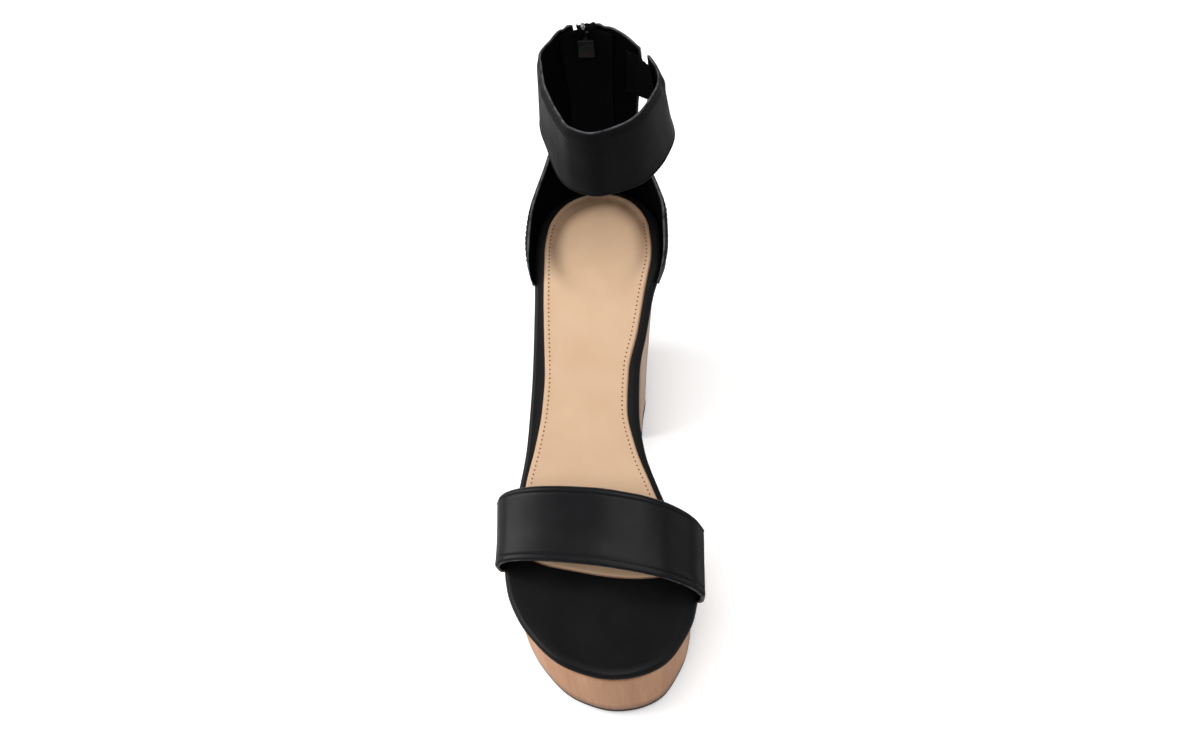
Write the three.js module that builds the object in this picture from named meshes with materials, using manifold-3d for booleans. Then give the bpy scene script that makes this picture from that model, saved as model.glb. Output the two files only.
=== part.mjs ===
// A platform sandal for the right foot: a wood-look platform and block heel, a wrapped footbed with a
// sock pad, a band across the toes, and a heel quarter that rises in a zipped back strip to an ankle cuff.
// Millimetres, +Z up. The toe points to -Y, the heel to +Y, and the inner side of the foot to +X.
import * as THREE from "three";
import { mergeVertices } from "three/addons/utils/BufferGeometryUtils.js";
import Module from "manifold-3d";

const wasm = await Module();
wasm.setup();

// Driving sizes, in millimetres
const gap = 0.3; // left between two pieces that touch

const footbedLength = 222; // heel back to toe tip, measured along the floor
const seatWidth = 60;
const waistWidth = 50;
const ballWidth = 87.5;
const footbedThickness = 7.5;
const seatHeight = 111; // floor to the top of the footbed at the heel
const toeSpring = 3.5;
const sockThickness = 1.8;
const sockBevel = 1.2; // its cut edge, rounded over

const outsoleThickness = 2.5;
const platformHeight = 33;
const platformRearEdge = 2.5;
const platformWidth = 0.962; // its share of the footbed's width
const platformInset = 1.2; // the platform's top edge inside the footbed's outline
const platformUndercut = 1.2; // how much further in its bottom edge lies
const platformBevel = 0.8; // along its bottom edge
const rearCurve = 1.25; // how sharply the sole rises behind the ball
const outsoleInset = 0.4; // the outsole's edge inside the platform's bottom edge
const outsoleBevel = 0.6;

const heelLength = 69; // heel back to breast, at the seat
const heelInset = 0.8;
const topPieceThickness = 4;
const topPieceInset = 0.1; // its edge inside the heel's foot
const topPieceBevel = 0.4;

const upperWall = 1.8;
const lastingRise = 0.5; // the uppers leave the footbed's edge this far above its top
const vampWall = 2.2;
const vampBandWidth = 28.2; // front edge to back edge, measured along the floor
const vampOuterWidth = 93.6;
const vampShift = -0.3; // the band's middle from the footbed's, towards the inner side
const vampFrontArch = 20; // inside height over the footbed at the front edge
const vampBackArch = 30.5;
const vampSkew = 0.18; // how far the band runs forward for each millimetre towards the inner side
const vampEndSweep = 3; // how far its lasted ends' front corners lie further back

const heelBulge = 1.6;
const bulgeTurn = -0.1; // round the ankle, where the bulge is greatest
const bulgeHeight = 50;
const seatSpread = 1.3; // how far the counter's sides stand out just above the footbed's edge
const seatSpreadHeight = 17;
const leanStart = 4; // above the footbed's top, where the counter starts to lean towards the ankle
const stripWidth = 44; // back strip that carries the zip, measured round the ankle
const cuffWidth = 53.5; // outside, at its top edge
const cuffDepth = 67.6; // outside, back to front
const cuffBack = 1.2; // footbed's heel back to the cuff's
const cuffHeight = 36;
const cuffTopHeight = 102.5; // above the heel seat
const flareFade = 20; // height below the cuff over which its spread goes back to nothing
const stripFlare = 0.1; // how far the strip's edges spread by the cuff's top, as a turn
const rimDip = 1.6; // how much lower the top edge lies at the gore
const rimDipWidth = 9; // measured round the ankle, to either side of the gore

const goreWall = 1.2;
const goreWidth = 5.2;
const goreOverlap = 4;
const goreDrop = 4.6; // how far its top edge lies below the cuff's
const goreLift = 5.6; // how far its bottom edge lies above the cuff's

const zipSlotWidth = 9;
const zipBottomHeight = 12; // above the heel seat
const tapeWidth = 22;
const tapeThickness = 0.8;
const tapeRun = 5; // how far the tapes run on below the slot
const tapeDrop = 1.5; // cuff's top edge to theirs
const tapeParting = 3.2; // between the tapes above the chain
const chainWidth = 4.4;
const chainThickness = 2.2;
const chainStart = 1; // slot's foot to the chain's
const chainBack = 0; // behind the chain, from the upper's inner face
const sliderWidth = 7;
const sliderLength = 9;
const sliderPlate = 1.1;
const sliderDrop = 6; // cuff's top edge to the slider's
const sliderRoom = 0.2; // between the chain's faces and the slider's plates
const sliderSpare = 0.5; // beside the slider, and from the upper's inner face to its side walls
const wedgeWidth = 2.2; // the slider's post between its two plates
const wedgeLength = 2;
const bridgeWidth = 2.2;
const bridgeLength = 7;
const bridgeBar = 1.1;
const pullBar = 1.4; // diameter of the pull tab's hinge bar
const pullLength = 24;
const pullWidth = 6.4;
const pullThickness = 1.2;
const pullRoom = 0.35; // around the hinge bar
const pullArm = 1.3; // either side of the pull tab's window
const windowRoom = 1.1; // from the bridge's end to the window's

// Heights that several pieces share
const platformTop = outsoleThickness + gap + platformHeight;
const forefootTop = platformTop + gap + footbedThickness;
const cuffTop = seatHeight + cuffTopHeight;
const cuffBottom = cuffTop - cuffHeight;

// Footbed outline. Each row is a section: along is a share of the footbed's length from the heel back, and
// lateral and medial are shares of the width named in across.
const outlineRows = [
  { along: 0, across: seatWidth, lateral: 0, medial: 0 },
  { along: 0.012, across: seatWidth, lateral: 0.2, medial: 0.2 },
  { along: 0.05, across: seatWidth, lateral: 0.385, medial: 0.385 },
  { along: 0.12, across: seatWidth, lateral: 0.485, medial: 0.485 },
  { along: 0.19, across: seatWidth, lateral: 0.5, medial: 0.49 },
  { along: 0.26, across: seatWidth, lateral: 0.495, medial: 0.42 },
  { along: 0.33, across: waistWidth, lateral: 0.6, medial: 0.44 },
  { along: 0.4, across: waistWidth, lateral: 0.615, medial: 0.37 },
  { along: 0.47, across: waistWidth, lateral: 0.645, medial: 0.36 },
  { along: 0.53, across: waistWidth, lateral: 0.68, medial: 0.4 },
  { along: 0.6, across: ballWidth, lateral: 0.43, medial: 0.3 },
  { along: 0.67, across: ballWidth, lateral: 0.47, medial: 0.39 },
  { along: 0.74, across: ballWidth, lateral: 0.5, medial: 0.465 },
  { along: 0.8, across: ballWidth, lateral: 0.479, medial: 0.498 },
  { along: 0.86, across: ballWidth, lateral: 0.42, medial: 0.478 },
  { along: 0.92, across: ballWidth, lateral: 0.315, medial: 0.415 },
  { along: 0.965, across: ballWidth, lateral: 0.195, medial: 0.335 },
  { along: 0.99, across: ballWidth, lateral: 0.06, medial: 0.225 },
  { along: 1, across: ballWidth, lateral: -0.075, medial: 0.075 },
];

// Sock pad outline: along is a share of the pad's own length, which runs from sockBack to sockFront.
const sockBack = 0.0225;
const sockFront = 0.784;
const sockRows = [
  { along: 0, across: seatWidth, lateral: 0, medial: 0 },
  { along: 0.015, across: seatWidth, lateral: 0.18, medial: 0.18 },
  { along: 0.06, across: seatWidth, lateral: 0.32, medial: 0.32 },
  { along: 0.12, across: seatWidth, lateral: 0.395, medial: 0.39 },
  { along: 0.2, across: seatWidth, lateral: 0.42, medial: 0.412 },
  { along: 0.31, across: seatWidth, lateral: 0.42, medial: 0.355 },
  { along: 0.41, across: waistWidth, lateral: 0.5, medial: 0.36 },
  { along: 0.5, across: waistWidth, lateral: 0.495, medial: 0.275 },
  { along: 0.59, across: waistWidth, lateral: 0.525, medial: 0.255 },
  { along: 0.67, across: waistWidth, lateral: 0.59, medial: 0.32 },
  { along: 0.76, across: ballWidth, lateral: 0.39, medial: 0.262 },
  { along: 0.85, across: ballWidth, lateral: 0.415, medial: 0.345 },
  { along: 0.92, across: ballWidth, lateral: 0.41, medial: 0.395 },
  { along: 0.955, across: ballWidth, lateral: 0.3, medial: 0.41 },
  { along: 0.98, across: ballWidth, lateral: 0.1, medial: 0.395 },
  { along: 1, across: ballWidth, lateral: -0.2, medial: 0.2 },
];

// Rounded edge of the footbed, from its underside up. Lift and inset are shares of its thickness.
const edgeRows = [
  { lift: 0, inset: 0.6 },
  { lift: 0.13, inset: 0.35 },
  { lift: 0.38, inset: 0.13 },
  { lift: 0.58, inset: 0 },
  { lift: 0.8, inset: 0.065 },
  { lift: 0.95, inset: 0.24 },
  { lift: 1, inset: 0.5 },
];
// An upper lasted round that edge: the heights of its first rows and how far each lies inside the outline.
const lastedRows = [
  { lift: 0.18, inset: 0.235 },
  { lift: 0.38, inset: 0.08 },
  { lift: 0.6, inset: -0.045 },
];
// The toe band's ends stay higher up that edge.
const bandLastedRows = [
  { lift: 0.34, inset: 0.1 },
  { lift: 0.5, inset: 0 },
  { lift: 0.66, inset: -0.05 },
];

// Side line of the footbed's top: rise is a share of the drop from the heel seat to the forefoot.
const riseRows = [
  { along: 0, rise: 1 },
  { along: 0.1, rise: 0.985 },
  { along: 0.2, rise: 0.93 },
  { along: 0.3, rise: 0.81 },
  { along: 0.4, rise: 0.62 },
  { along: 0.5, rise: 0.4 },
  { along: 0.6, rise: 0.19 },
  { along: 0.68, rise: 0.06 },
  { along: 0.76, rise: 0 },
  { along: 1, rise: 0 },
];
const springStart = 0.8; // along, where the sole starts to lift towards the toe
const contactRear = 0.66; // along, where the platform leaves the floor behind the ball
const platformRear = 0.46; // along, where the platform's rear edge meets the footbed

// Block heel: height is a share from its foot to the seat, width of the footbed's own width, and back and
// breast are shares of the heel's length from the heel back. Each side stands out further at the breast by
// square, a share of the seat's width, so the foot of the heel is nearly straight sided.
const heelRows = [
  { height: 0, width: 0.54, back: 0.12, breast: 1.03, square: 0.076 },
  { height: 0.25, width: 0.6, back: 0.095, breast: 1.02, square: 0.069 },
  { height: 0.5, width: 0.69, back: 0.065, breast: 1.01, square: 0.053 },
  { height: 0.75, width: 0.79, back: 0.035, breast: 1, square: 0.03 },
  { height: 1, width: 0.89, back: 0, breast: 1, square: 0 },
];

// The toe band's arch from its outer side to its inner side: side is a share of half the band's width and
// rise of the arch's height over the footbed.
const vampCentre = 0.797; // along, of the band's front edge over the middle of the foot
const vampRows = [
  { side: -1, rise: 0.22 },
  { side: -0.96, rise: 0.4 },
  { side: -0.87, rise: 0.56 },
  { side: -0.72, rise: 0.71 },
  { side: -0.5, rise: 0.84 },
  { side: -0.22, rise: 0.94 },
  { side: 0.1, rise: 1 },
  { side: 0.38, rise: 0.98 },
  { side: 0.62, rise: 0.89 },
  { side: 0.8, rise: 0.73 },
  { side: 0.93, rise: 0.52 },
  { side: 1, rise: 0.28 },
];

// Cuff outline, from the front round the outer side, the back and the inner side. Turn is 0 at the zip. At the
// top edge side is a share of the cuff's width and fore of its depth; lowSide and lowFore are the same at the
// bottom edge.
const cuffRows = [
  { turn: -1, side: 0.084, fore: 1, lowSide: 0.101, lowFore: 0.98 },
  { turn: -0.85, side: -0.095, fore: 0.944, lowSide: -0.086, lowFore: 0.931 },
  { turn: -0.7, side: -0.19, fore: 0.818, lowSide: -0.215, lowFore: 0.826 },
  { turn: -0.5, side: -0.3, fore: 0.584, lowSide: -0.321, lowFore: 0.588 },
  { turn: -0.3, side: -0.362, fore: 0.3, lowSide: -0.402, lowFore: 0.315 },
  { turn: -0.2, side: -0.282, fore: 0.152, lowSide: -0.3, lowFore: 0.152 },
  { turn: -0.1, side: -0.175, fore: 0.038, lowSide: -0.178, lowFore: 0.036 },
  { turn: 0, side: 0, fore: 0, lowSide: 0, lowFore: 0 },
  { turn: 0.1, side: 0.163, fore: 0.031, lowSide: 0.168, lowFore: 0.028 },
  { turn: 0.2, side: 0.318, fore: 0.11, lowSide: 0.34, lowFore: 0.098 },
  { turn: 0.3, side: 0.456, fore: 0.219, lowSide: 0.514, lowFore: 0.182 },
  { turn: 0.4, side: 0.552, fore: 0.346, lowSide: 0.645, lowFore: 0.286 },
  { turn: 0.55, side: 0.61, fore: 0.534, lowSide: 0.693, lowFore: 0.471 },
  { turn: 0.7, side: 0.522, fore: 0.75, lowSide: 0.626, lowFore: 0.67 },
  { turn: 0.85, side: 0.358, fore: 0.913, lowSide: 0.42, lowFore: 0.892 },
  { turn: 1, side: 0.084, fore: 1, lowSide: 0.101, lowFore: 0.98 },
];

// Top line of the heel quarter: around is a share from the back strip's edge to the front corner, and rise a
// share of the quarter's height where it meets the strip.
const quarterHeight = 38; // above the heel seat, where the top line meets the back strip
const quarterCorner = 0.239; // along, of the quarter's front corner
const quarterRows = [
  { around: 0, rise: 1 },
  { around: 0.08, rise: 0.68 },
  { around: 0.2, rise: 0.49 },
  { around: 0.4, rise: 0.36 },
  { around: 0.62, rise: 0.29 },
  { around: 0.8, rise: 0.21 },
  { around: 0.92, rise: 0.03 },
  { around: 1, rise: -0.2 },
];

const clamp = (value, low, high) => Math.min(Math.max(value, low), high);
const mix = (a, b, share) => a + (b - a) * share;
const hump = (share) => Math.sin(Math.PI * clamp(share, 0, 1));
const smooth = (share) => {
  const s = clamp(share, 0, 1);
  return s * s * (3 - 2 * s);
};

// Smooth curve through a table's rows: value(row) against knot(row), with slopes that never overshoot.
function curveThrough(rows, knot, value) {
  const x = rows.map(knot);
  const y = rows.map(value);
  const chord = x.slice(1).map((at, i) => (y[i + 1] - y[i]) / (at - x[i]));
  const slope = x.map((_, i) => {
    if (i === 0) return chord[0];
    if (i === x.length - 1) return chord[i - 1];
    const before = chord[i - 1];
    const after = chord[i];
    return before * after <= 0 ? 0 : (2 * before * after) / (before + after);
  });
  return (at) => {
    const place = clamp(at, x[0], x[x.length - 1]);
    let i = 0;
    while (i < x.length - 2 && place > x[i + 1]) i += 1;
    const step = x[i + 1] - x[i];
    const s = (place - x[i]) / step;
    const rise = y[i + 1] - y[i];
    const start = slope[i] * step;
    const end = slope[i + 1] * step;
    return y[i] + s * (start + s * (3 * rise - 2 * start - end + s * (start + end - 2 * rise)));
  };
}

// A share along an outline as a turn from 0 to 1, which keeps both ends of the outline round.
const turnOf = (along) => Math.acos(1 - 2 * clamp(along, 0, 1)) / Math.PI;
const alongOf = (turn) => (1 - Math.cos(Math.PI * turn)) / 2;

function outlineFrom(rows) {
  const lateral = curveThrough(rows, (r) => turnOf(r.along), (r) => -r.lateral * r.across);
  const medial = curveThrough(rows, (r) => turnOf(r.along), (r) => r.medial * r.across);
  return { lateral: (along) => lateral(turnOf(along)), medial: (along) => medial(turnOf(along)) };
}

const footbedEdge = outlineFrom(outlineRows);
const sockEdge = outlineFrom(sockRows);
const rise = curveThrough(riseRows, (r) => r.along, (r) => r.rise);
const toeLift = (along) => toeSpring * clamp((along - springStart) / (1 - springStart), 0, 1) ** 2;
const footbedTop = (along) => mix(forefootTop, seatHeight, rise(along)) + toeLift(along);
const footbedUnder = (along) => footbedTop(along) - footbedThickness;
const alongAt = (y) => -y / footbedLength;

// Lowest line of the outsole: flat on the floor, lifting to the toe and curving up behind the ball.
function soleLine(along) {
  const under = footbedUnder(along) - gap - platformRearEdge - outsoleThickness - gap;
  const filled = clamp((along - platformRear) / (contactRear - platformRear), 0, 1);
  return along >= contactRear ? toeLift(along) : under * (1 - filled ** rearCurve);
}

// A chain of stations for one outline: the outer side's and the inner side's x at each y, from the heel on.
function stations(count, edge, place) {
  return Array.from({ length: count + 1 }, (_, i) => {
    const { along, share } = place(i / count);
    return { y: -along * footbedLength, lateral: edge.lateral(share), medial: edge.medial(share) };
  });
}

// The same chain moved inwards by inset. Both sides keep matching y values.
function insetChain(chain, inset) {
  const loop = [
    ...chain.map((s) => new THREE.Vector2(s.lateral, s.y)),
    ...chain.map((s) => new THREE.Vector2(s.medial, s.y)).reverse(),
  ].filter((p, i, all) => p.distanceTo(all[(i + 1) % all.length]) > 1e-6);
  const moved = loop.map((p, i) => {
    const along = loop[(i + 1) % loop.length].clone().sub(loop[(i + loop.length - 1) % loop.length]);
    along.normalize();
    return new THREE.Vector2(p.x - along.y * inset, p.y + along.x * inset);
  });
  const turnBack = loop.findIndex((p) => Math.abs(p.y - chain[chain.length - 1].y) < 1e-6);
  const pointedHeel = Math.abs(chain[0].lateral - chain[0].medial) < 1e-6;
  const outer = moved.slice(0, turnBack + 1);
  const pointedToe = loop.length - turnBack - (pointedHeel ? 0 : 1) < chain.length;
  const inner = moved.slice(turnBack + (pointedToe ? 0 : 1)).concat(pointedHeel ? [moved[0]] : []).reverse();
  const [start, end] = [outer[0].y, outer[outer.length - 1].y];
  const span = chain[chain.length - 1].y - chain[0].y;
  return chain.map((s) => {
    const y = mix(start, end, (s.y - chain[0].y) / span);
    return { y, lateral: crossing(outer, y), medial: crossing(inner, y) };
  });
}

// Where a line of points, running towards the toe, crosses y.
function crossing(line, y) {
  let i = 0;
  while (i < line.length - 2 && y < line[i + 1].y) i += 1;
  const share = clamp((y - line[i].y) / (line[i + 1].y - line[i].y || 1), 0, 1);
  return mix(line[i].x, line[i + 1].x, share);
}

// The ring of a chain: down its outer side from the heel and back up its inner side.
function ringOf(chain, height) {
  return [
    ...chain.map((s) => new THREE.Vector3(s.lateral, s.y, height(alongAt(s.y)))),
    ...chain.map((s) => new THREE.Vector3(s.medial, s.y, height(alongAt(s.y)))).reverse(),
  ];
}

// Geometry from triangles given as triples of points; triangles with no area are left out.
function geometryOf(triangles) {
  const solid = triangles.filter(
    ([a, b, c]) => a.distanceTo(b) > 1e-4 && b.distanceTo(c) > 1e-4 && c.distanceTo(a) > 1e-4,
  );
  const made = new THREE.BufferGeometry().setFromPoints(solid.flat());
  const closed = mergeVertices(made, 1e-4);
  closed.computeVertexNormals();
  return closed;
}

// A closed solid from rings stacked upwards, each an array of points that runs down the outer side from the
// heel and back up the inner side.
function stackedSolid(rings) {
  const triangles = [];
  const count = rings[0].length;
  const half = count / 2;
  const quad = (a, b, c, d) => triangles.push([a, b, c], [a, c, d]);
  for (let level = 0; level + 1 < rings.length; level += 1) {
    const low = rings[level];
    const high = rings[level + 1];
    for (let i = 0; i < count; i += 1) {
      const next = (i + 1) % count;
      quad(low[i], low[next], high[next], high[i]);
    }
  }
  const bottom = rings[0];
  const top = rings[rings.length - 1];
  for (let i = 0; i + 1 < half; i += 1) {
    const across = count - 1 - i;
    quad(top[i], top[i + 1], top[across - 1], top[across]);
    quad(bottom[across], bottom[across - 1], bottom[i + 1], bottom[i]);
  }
  return geometryOf(triangles);
}

// A plate between two height lines. Each layer is a share of the height, an inset and a lift.
function plate(chain, layers, low, high) {
  return stackedSolid(
    layers.map(({ share, inset, lift = 0 }) =>
      ringOf(insetChain(chain, inset), (along) => mix(low(along), high(along), share) + lift),
    ),
  );
}

// A wall of even thickness on a grid of inner-surface points. A cell is the face between two columns and
// two rows; the wall grows to the side that columns crossed with rows point to.
function wallFromGrid({ columns, rows, point, cell, wall, ring = false }) {
  const width = ring ? columns : columns - 1;
  const inner = Array.from({ length: columns }, (_, i) =>
    Array.from({ length: rows }, (_, j) => point(i, j)),
  );
  const normal = inner.map((column) => column.map(() => new THREE.Vector3()));
  const faces = [];
  for (let i = 0; i < width; i += 1) {
    for (let j = 0; j + 1 < rows; j += 1) {
      if (!cell(i, j)) continue;
      const corners = [[i, j], [(i + 1) % columns, j], [(i + 1) % columns, j + 1], [i, j + 1]];
      const [a, b, c, d] = corners.map(([p, q]) => inner[p][q]);
      const face = c.clone().sub(a).cross(d.clone().sub(b));
      corners.forEach(([p, q]) => normal[p][q].add(face));
      faces.push(corners);
    }
  }
  const outer = inner.map((column, i) =>
    column.map((p, j) => p.clone().addScaledVector(normal[i][j].normalize(), wall)),
  );
  const key = ([i, j]) => i * rows + j;
  const edges = new Set();
  faces.forEach((corners) =>
    corners.forEach((from, k) => edges.add(`${key(from)}>${key(corners[(k + 1) % 4])}`)),
  );
  const triangles = [];
  for (const corners of faces) {
    const [a, b, c, d] = corners.map(([p, q]) => outer[p][q]);
    const [e, f, g, h] = corners.map(([p, q]) => inner[p][q]);
    triangles.push([a, b, c], [a, c, d], [e, g, f], [e, h, g]);
    corners.forEach((from, k) => {
      const to = corners[(k + 1) % 4];
      if (edges.has(`${key(to)}>${key(from)}`)) return;
      const [p, q] = [outer[from[0]][from[1]], outer[to[0]][to[1]]];
      const [r, s] = [inner[from[0]][from[1]], inner[to[0]][to[1]]];
      triangles.push([q, p, r], [q, r, s]);
    });
  }
  return geometryOf(triangles);
}

function solidOf(geometry) {
  const bare = geometry.clone().toNonIndexed();
  bare.deleteAttribute("normal");
  bare.deleteAttribute("uv");
  const merged = mergeVertices(bare, 1e-4);
  return new wasm.Manifold(
    new wasm.Mesh({
      numProp: 3,
      vertProperties: new Float32Array(merged.attributes.position.array),
      triVerts: new Uint32Array(merged.index.array),
    }),
  );
}

function geometryOfSolid(solid) {
  const mesh = solid.getMesh();
  const made = new THREE.BufferGeometry();
  made.setAttribute("position", new THREE.BufferAttribute(mesh.vertProperties, 3));
  made.setIndex(new THREE.BufferAttribute(mesh.triVerts, 1));
  made.computeVertexNormals();
  return made;
}

const joined = (...parts) => geometryOfSolid(parts.map(solidOf).reduce((a, b) => a.add(b)));
const box = (x, y, z, dx = 0, dy = 0, dz = 0) => new THREE.BoxGeometry(x, y, z).translate(dx, dy, dz);

const finishes = {
  blackLeather: { color: 0x1b1b1c, roughness: 0.55, metalness: 0 },
  tanSock: { color: 0xdcb68f, roughness: 0.6, metalness: 0 },
  wood: { color: 0xc39a7b, roughness: 0.5, metalness: 0 },
  rubber: { color: 0x3a2f2a, roughness: 0.8, metalness: 0 },
  textile: { color: 0x101012, roughness: 0.9, metalness: 0 },
  zipMetal: { color: 0x5c5c60, roughness: 0.35, metalness: 1 },
};
const materials = Object.fromEntries(
  Object.entries(finishes).map(([name, look]) => [name, new THREE.MeshStandardMaterial(look)]),
);

const shoe = new THREE.Group();
function add(name, geometry, finish, parent = shoe) {
  const mesh = new THREE.Mesh(geometry, materials[finish]);
  mesh.name = name;
  parent.add(mesh);
  return mesh;
}

// Footbed, wrapped in leather, and the sock pad on it
const outlineSteps = 40;
const footbedChain = stations(outlineSteps, footbedEdge, (turn) => {
  const along = alongOf(turn);
  return { along, share: along };
});

function footbed() {
  const layers = edgeRows.map(({ lift, inset }) => ({ share: lift, inset: inset * footbedThickness }));
  return plate(footbedChain, layers, footbedUnder, footbedTop);
}

function sockPad() {
  const chain = stations(outlineSteps, sockEdge, (turn) => ({
    along: mix(sockBack, sockFront, alongOf(turn)),
    share: alongOf(turn),
  }));
  const low = (along) => footbedTop(along) + gap;
  const high = (along) => low(along) + sockThickness;
  const layers = [
    { share: 0, inset: 0 },
    { share: 0.55, inset: 0 },
    { share: 1, inset: sockBevel },
  ];
  return plate(chain, layers, low, high);
}

// Platform and outsole, from the toe to the waist
const platformSteps = 34;
function platformChain() {
  return stations(platformSteps, footbedEdge, (turn) => {
    const along = mix(platformRear, 1, alongOf(mix(0.12, 1, turn)));
    return { along, share: along };
  }).map((s) => ({ y: s.y, lateral: s.lateral * platformWidth, medial: s.medial * platformWidth }));
}

function platform() {
  const low = (along) => soleLine(along) + outsoleThickness + gap;
  const high = (along) => footbedUnder(along) - gap;
  const layers = [
    { share: 0, inset: platformInset + platformUndercut + platformBevel },
    { share: 0, inset: platformInset + platformUndercut, lift: platformBevel },
    { share: 0.5, inset: platformInset + platformUndercut * 0.55 },
    { share: 1, inset: platformInset },
  ];
  return plate(platformChain(), layers, low, high);
}

function outsole() {
  const inset = platformInset + platformUndercut + outsoleInset;
  const layers = [
    { share: 0, inset: inset + outsoleBevel },
    { share: 0.25, inset },
    { share: 1, inset },
  ];
  return plate(platformChain(), layers, soleLine, (along) => soleLine(along) + outsoleThickness);
}

// Block heel and its top piece
const heelWidthAt = curveThrough(heelRows, (r) => r.height, (r) => r.width);
const heelBackAt = curveThrough(heelRows, (r) => r.height, (r) => r.back);
const heelBreastAt = curveThrough(heelRows, (r) => r.height, (r) => r.breast);
const heelSquareAt = curveThrough(heelRows, (r) => r.height, (r) => r.square);
const heelSteps = 20;

function heelChain(height) {
  const reach = heelLength / footbedLength;
  const back = heelBackAt(height) * reach;
  const breast = heelBreastAt(height) * reach;
  const width = heelWidthAt(height);
  const square = heelSquareAt(height) * seatWidth;
  return Array.from({ length: heelSteps + 1 }, (_, i) => {
    const share = 1 - Math.cos((Math.PI / 2) * (i / heelSteps));
    return {
      y: -mix(back, breast, share) * footbedLength,
      lateral: footbedEdge.lateral(share * reach) * width - square * share,
      medial: footbedEdge.medial(share * reach) * width + square * share,
    };
  });
}

function blockHeel() {
  const foot = topPieceThickness + gap;
  const levels = [0, 0.125, 0.25, 0.375, 0.5, 0.625, 0.75, 0.875, 1];
  const seat = (along) => footbedUnder(Math.max(along, 0)) - gap;
  return stackedSolid(
    levels.map((height) =>
      ringOf(insetChain(heelChain(height), heelInset), (along) => mix(foot, seat(along), height)),
    ),
  );
}

function heelTopPiece() {
  const inset = heelInset + topPieceInset;
  const layers = [
    { share: 0, inset: inset + topPieceBevel },
    { share: 0.2, inset },
    { share: 1, inset },
  ];
  return plate(heelChain(0), layers, () => 0, () => topPieceThickness);
}

// Toe band: columns run from the outer side's lasted edge to the inner side's, rows from front to back.
const vampRise = curveThrough(vampRows, (r) => r.side, (r) => r.rise);

function vampBand() {
  const sides = vampRows.map((r) => r.side);
  const overTop = sides.flatMap((side, i) => (i ? [mix(sides[i - 1], side, 0.5), side] : [side]));
  const rowCount = 6;
  const halfInner = vampOuterWidth / 2 - vampWall;
  const columnCount = overTop.length + 2 * (bandLastedRows.length + 1);
  const sideX = (side) => vampShift + side * halfInner;
  const lastColumn = columnCount - 1;
  const point = (i, j) => {
    const across = j / (rowCount - 1);
    const centre = vampCentre * footbedLength - vampBandWidth * across;
    const yAt = (x) => -(centre + vampSkew * x);
    const fromEnd = Math.min(i, lastColumn - i);
    const sign = i < lastColumn / 2 ? -1 : 1;
    if (fromEnd <= bandLastedRows.length) {
      const swept = vampEndSweep * (1 - across) * (1 - fromEnd / (bandLastedRows.length + 1));
      const y = yAt(sideX(sign)) + swept;
      const along = alongAt(y);
      const edge = sign < 0 ? footbedEdge.lateral(along) : footbedEdge.medial(along);
      const lasted = bandLastedRows[fromEnd];
      if (!lasted) {
        return new THREE.Vector3(mix(edge + sign * gap, sideX(sign), 0.55), y, footbedTop(along) + lastingRise);
      }
      const inset = lasted.inset * footbedThickness;
      return new THREE.Vector3(edge - sign * inset, y, footbedUnder(along) + lasted.lift * footbedThickness);
    }
    const side = overTop[i - bandLastedRows.length - 1];
    const x = sideX(side);
    const y = yAt(x);
    const arch = mix(vampFrontArch, vampBackArch, across);
    const base = footbedTop(vampCentre - (vampBandWidth * across) / footbedLength);
    return new THREE.Vector3(x, y, base + arch * vampRise(side));
  };
  return wallFromGrid({ columns: columnCount, rows: rowCount, point, cell: () => true, wall: vampWall });
}

// Heel quarter, back strip and ankle cuff. A place on them is a turn round the ankle, from 0 at the back to 1
// at the front of the cuff, positive on the inner side, and a height.
const cornerTurn = 0.55;
const cornerSweep = 0.1; // how far the lasted edge's front corner lies further back, as a share

// The quarter's foot follows the footbed's edge.
function seatPoint(turn, sweep = 0) {
  const reach = turnOf(quarterCorner) * Math.min(Math.abs(turn) / cornerTurn, 1) * (1 - sweep);
  const along = alongOf(reach);
  const edge = turn < 0 ? footbedEdge.lateral : footbedEdge.medial;
  const step = 1e-3;
  const tangent = new THREE.Vector2(edge(along + step) - edge(along), -step * footbedLength).normalize();
  const outward = new THREE.Vector2(-tangent.y, tangent.x).multiplyScalar(turn < 0 ? -1 : 1);
  if (Math.abs(turn) < 1e-3) outward.set(0, 1);
  return { along, x: edge(along), y: -along * footbedLength, outward };
}

const closedCuff = [
  { ...cuffRows[cuffRows.length - 2], turn: cuffRows[cuffRows.length - 2].turn - 2 },
  ...cuffRows,
  { ...cuffRows[1], turn: cuffRows[1].turn + 2 },
];
const cuffCurve = (value) => curveThrough(closedCuff, (r) => r.turn, value);
const cuffSide = cuffCurve((r) => r.side);
const cuffFore = cuffCurve((r) => r.fore);
const cuffLowSide = cuffCurve((r) => r.lowSide);
const cuffLowFore = cuffCurve((r) => r.lowFore);

// A point of the cuff's outer face, and the same point moved inwards
function cuffOuter(turn, height) {
  const down = clamp((cuffTop - height) / cuffHeight, 0, 1) - clamp((cuffBottom - height) / flareFade, 0, 1);
  return new THREE.Vector2(
    mix(cuffSide(turn), cuffLowSide(turn), down) * cuffWidth,
    -cuffBack - mix(cuffFore(turn), cuffLowFore(turn), down) * cuffDepth,
  );
}

function cuffInner(turn, height) {
  const along = cuffOuter(turn + 0.01, height).sub(cuffOuter(turn - 0.01, height)).normalize();
  return cuffOuter(turn, height).add(new THREE.Vector2(along.y, -along.x).multiplyScalar(upperWall));
}

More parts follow.
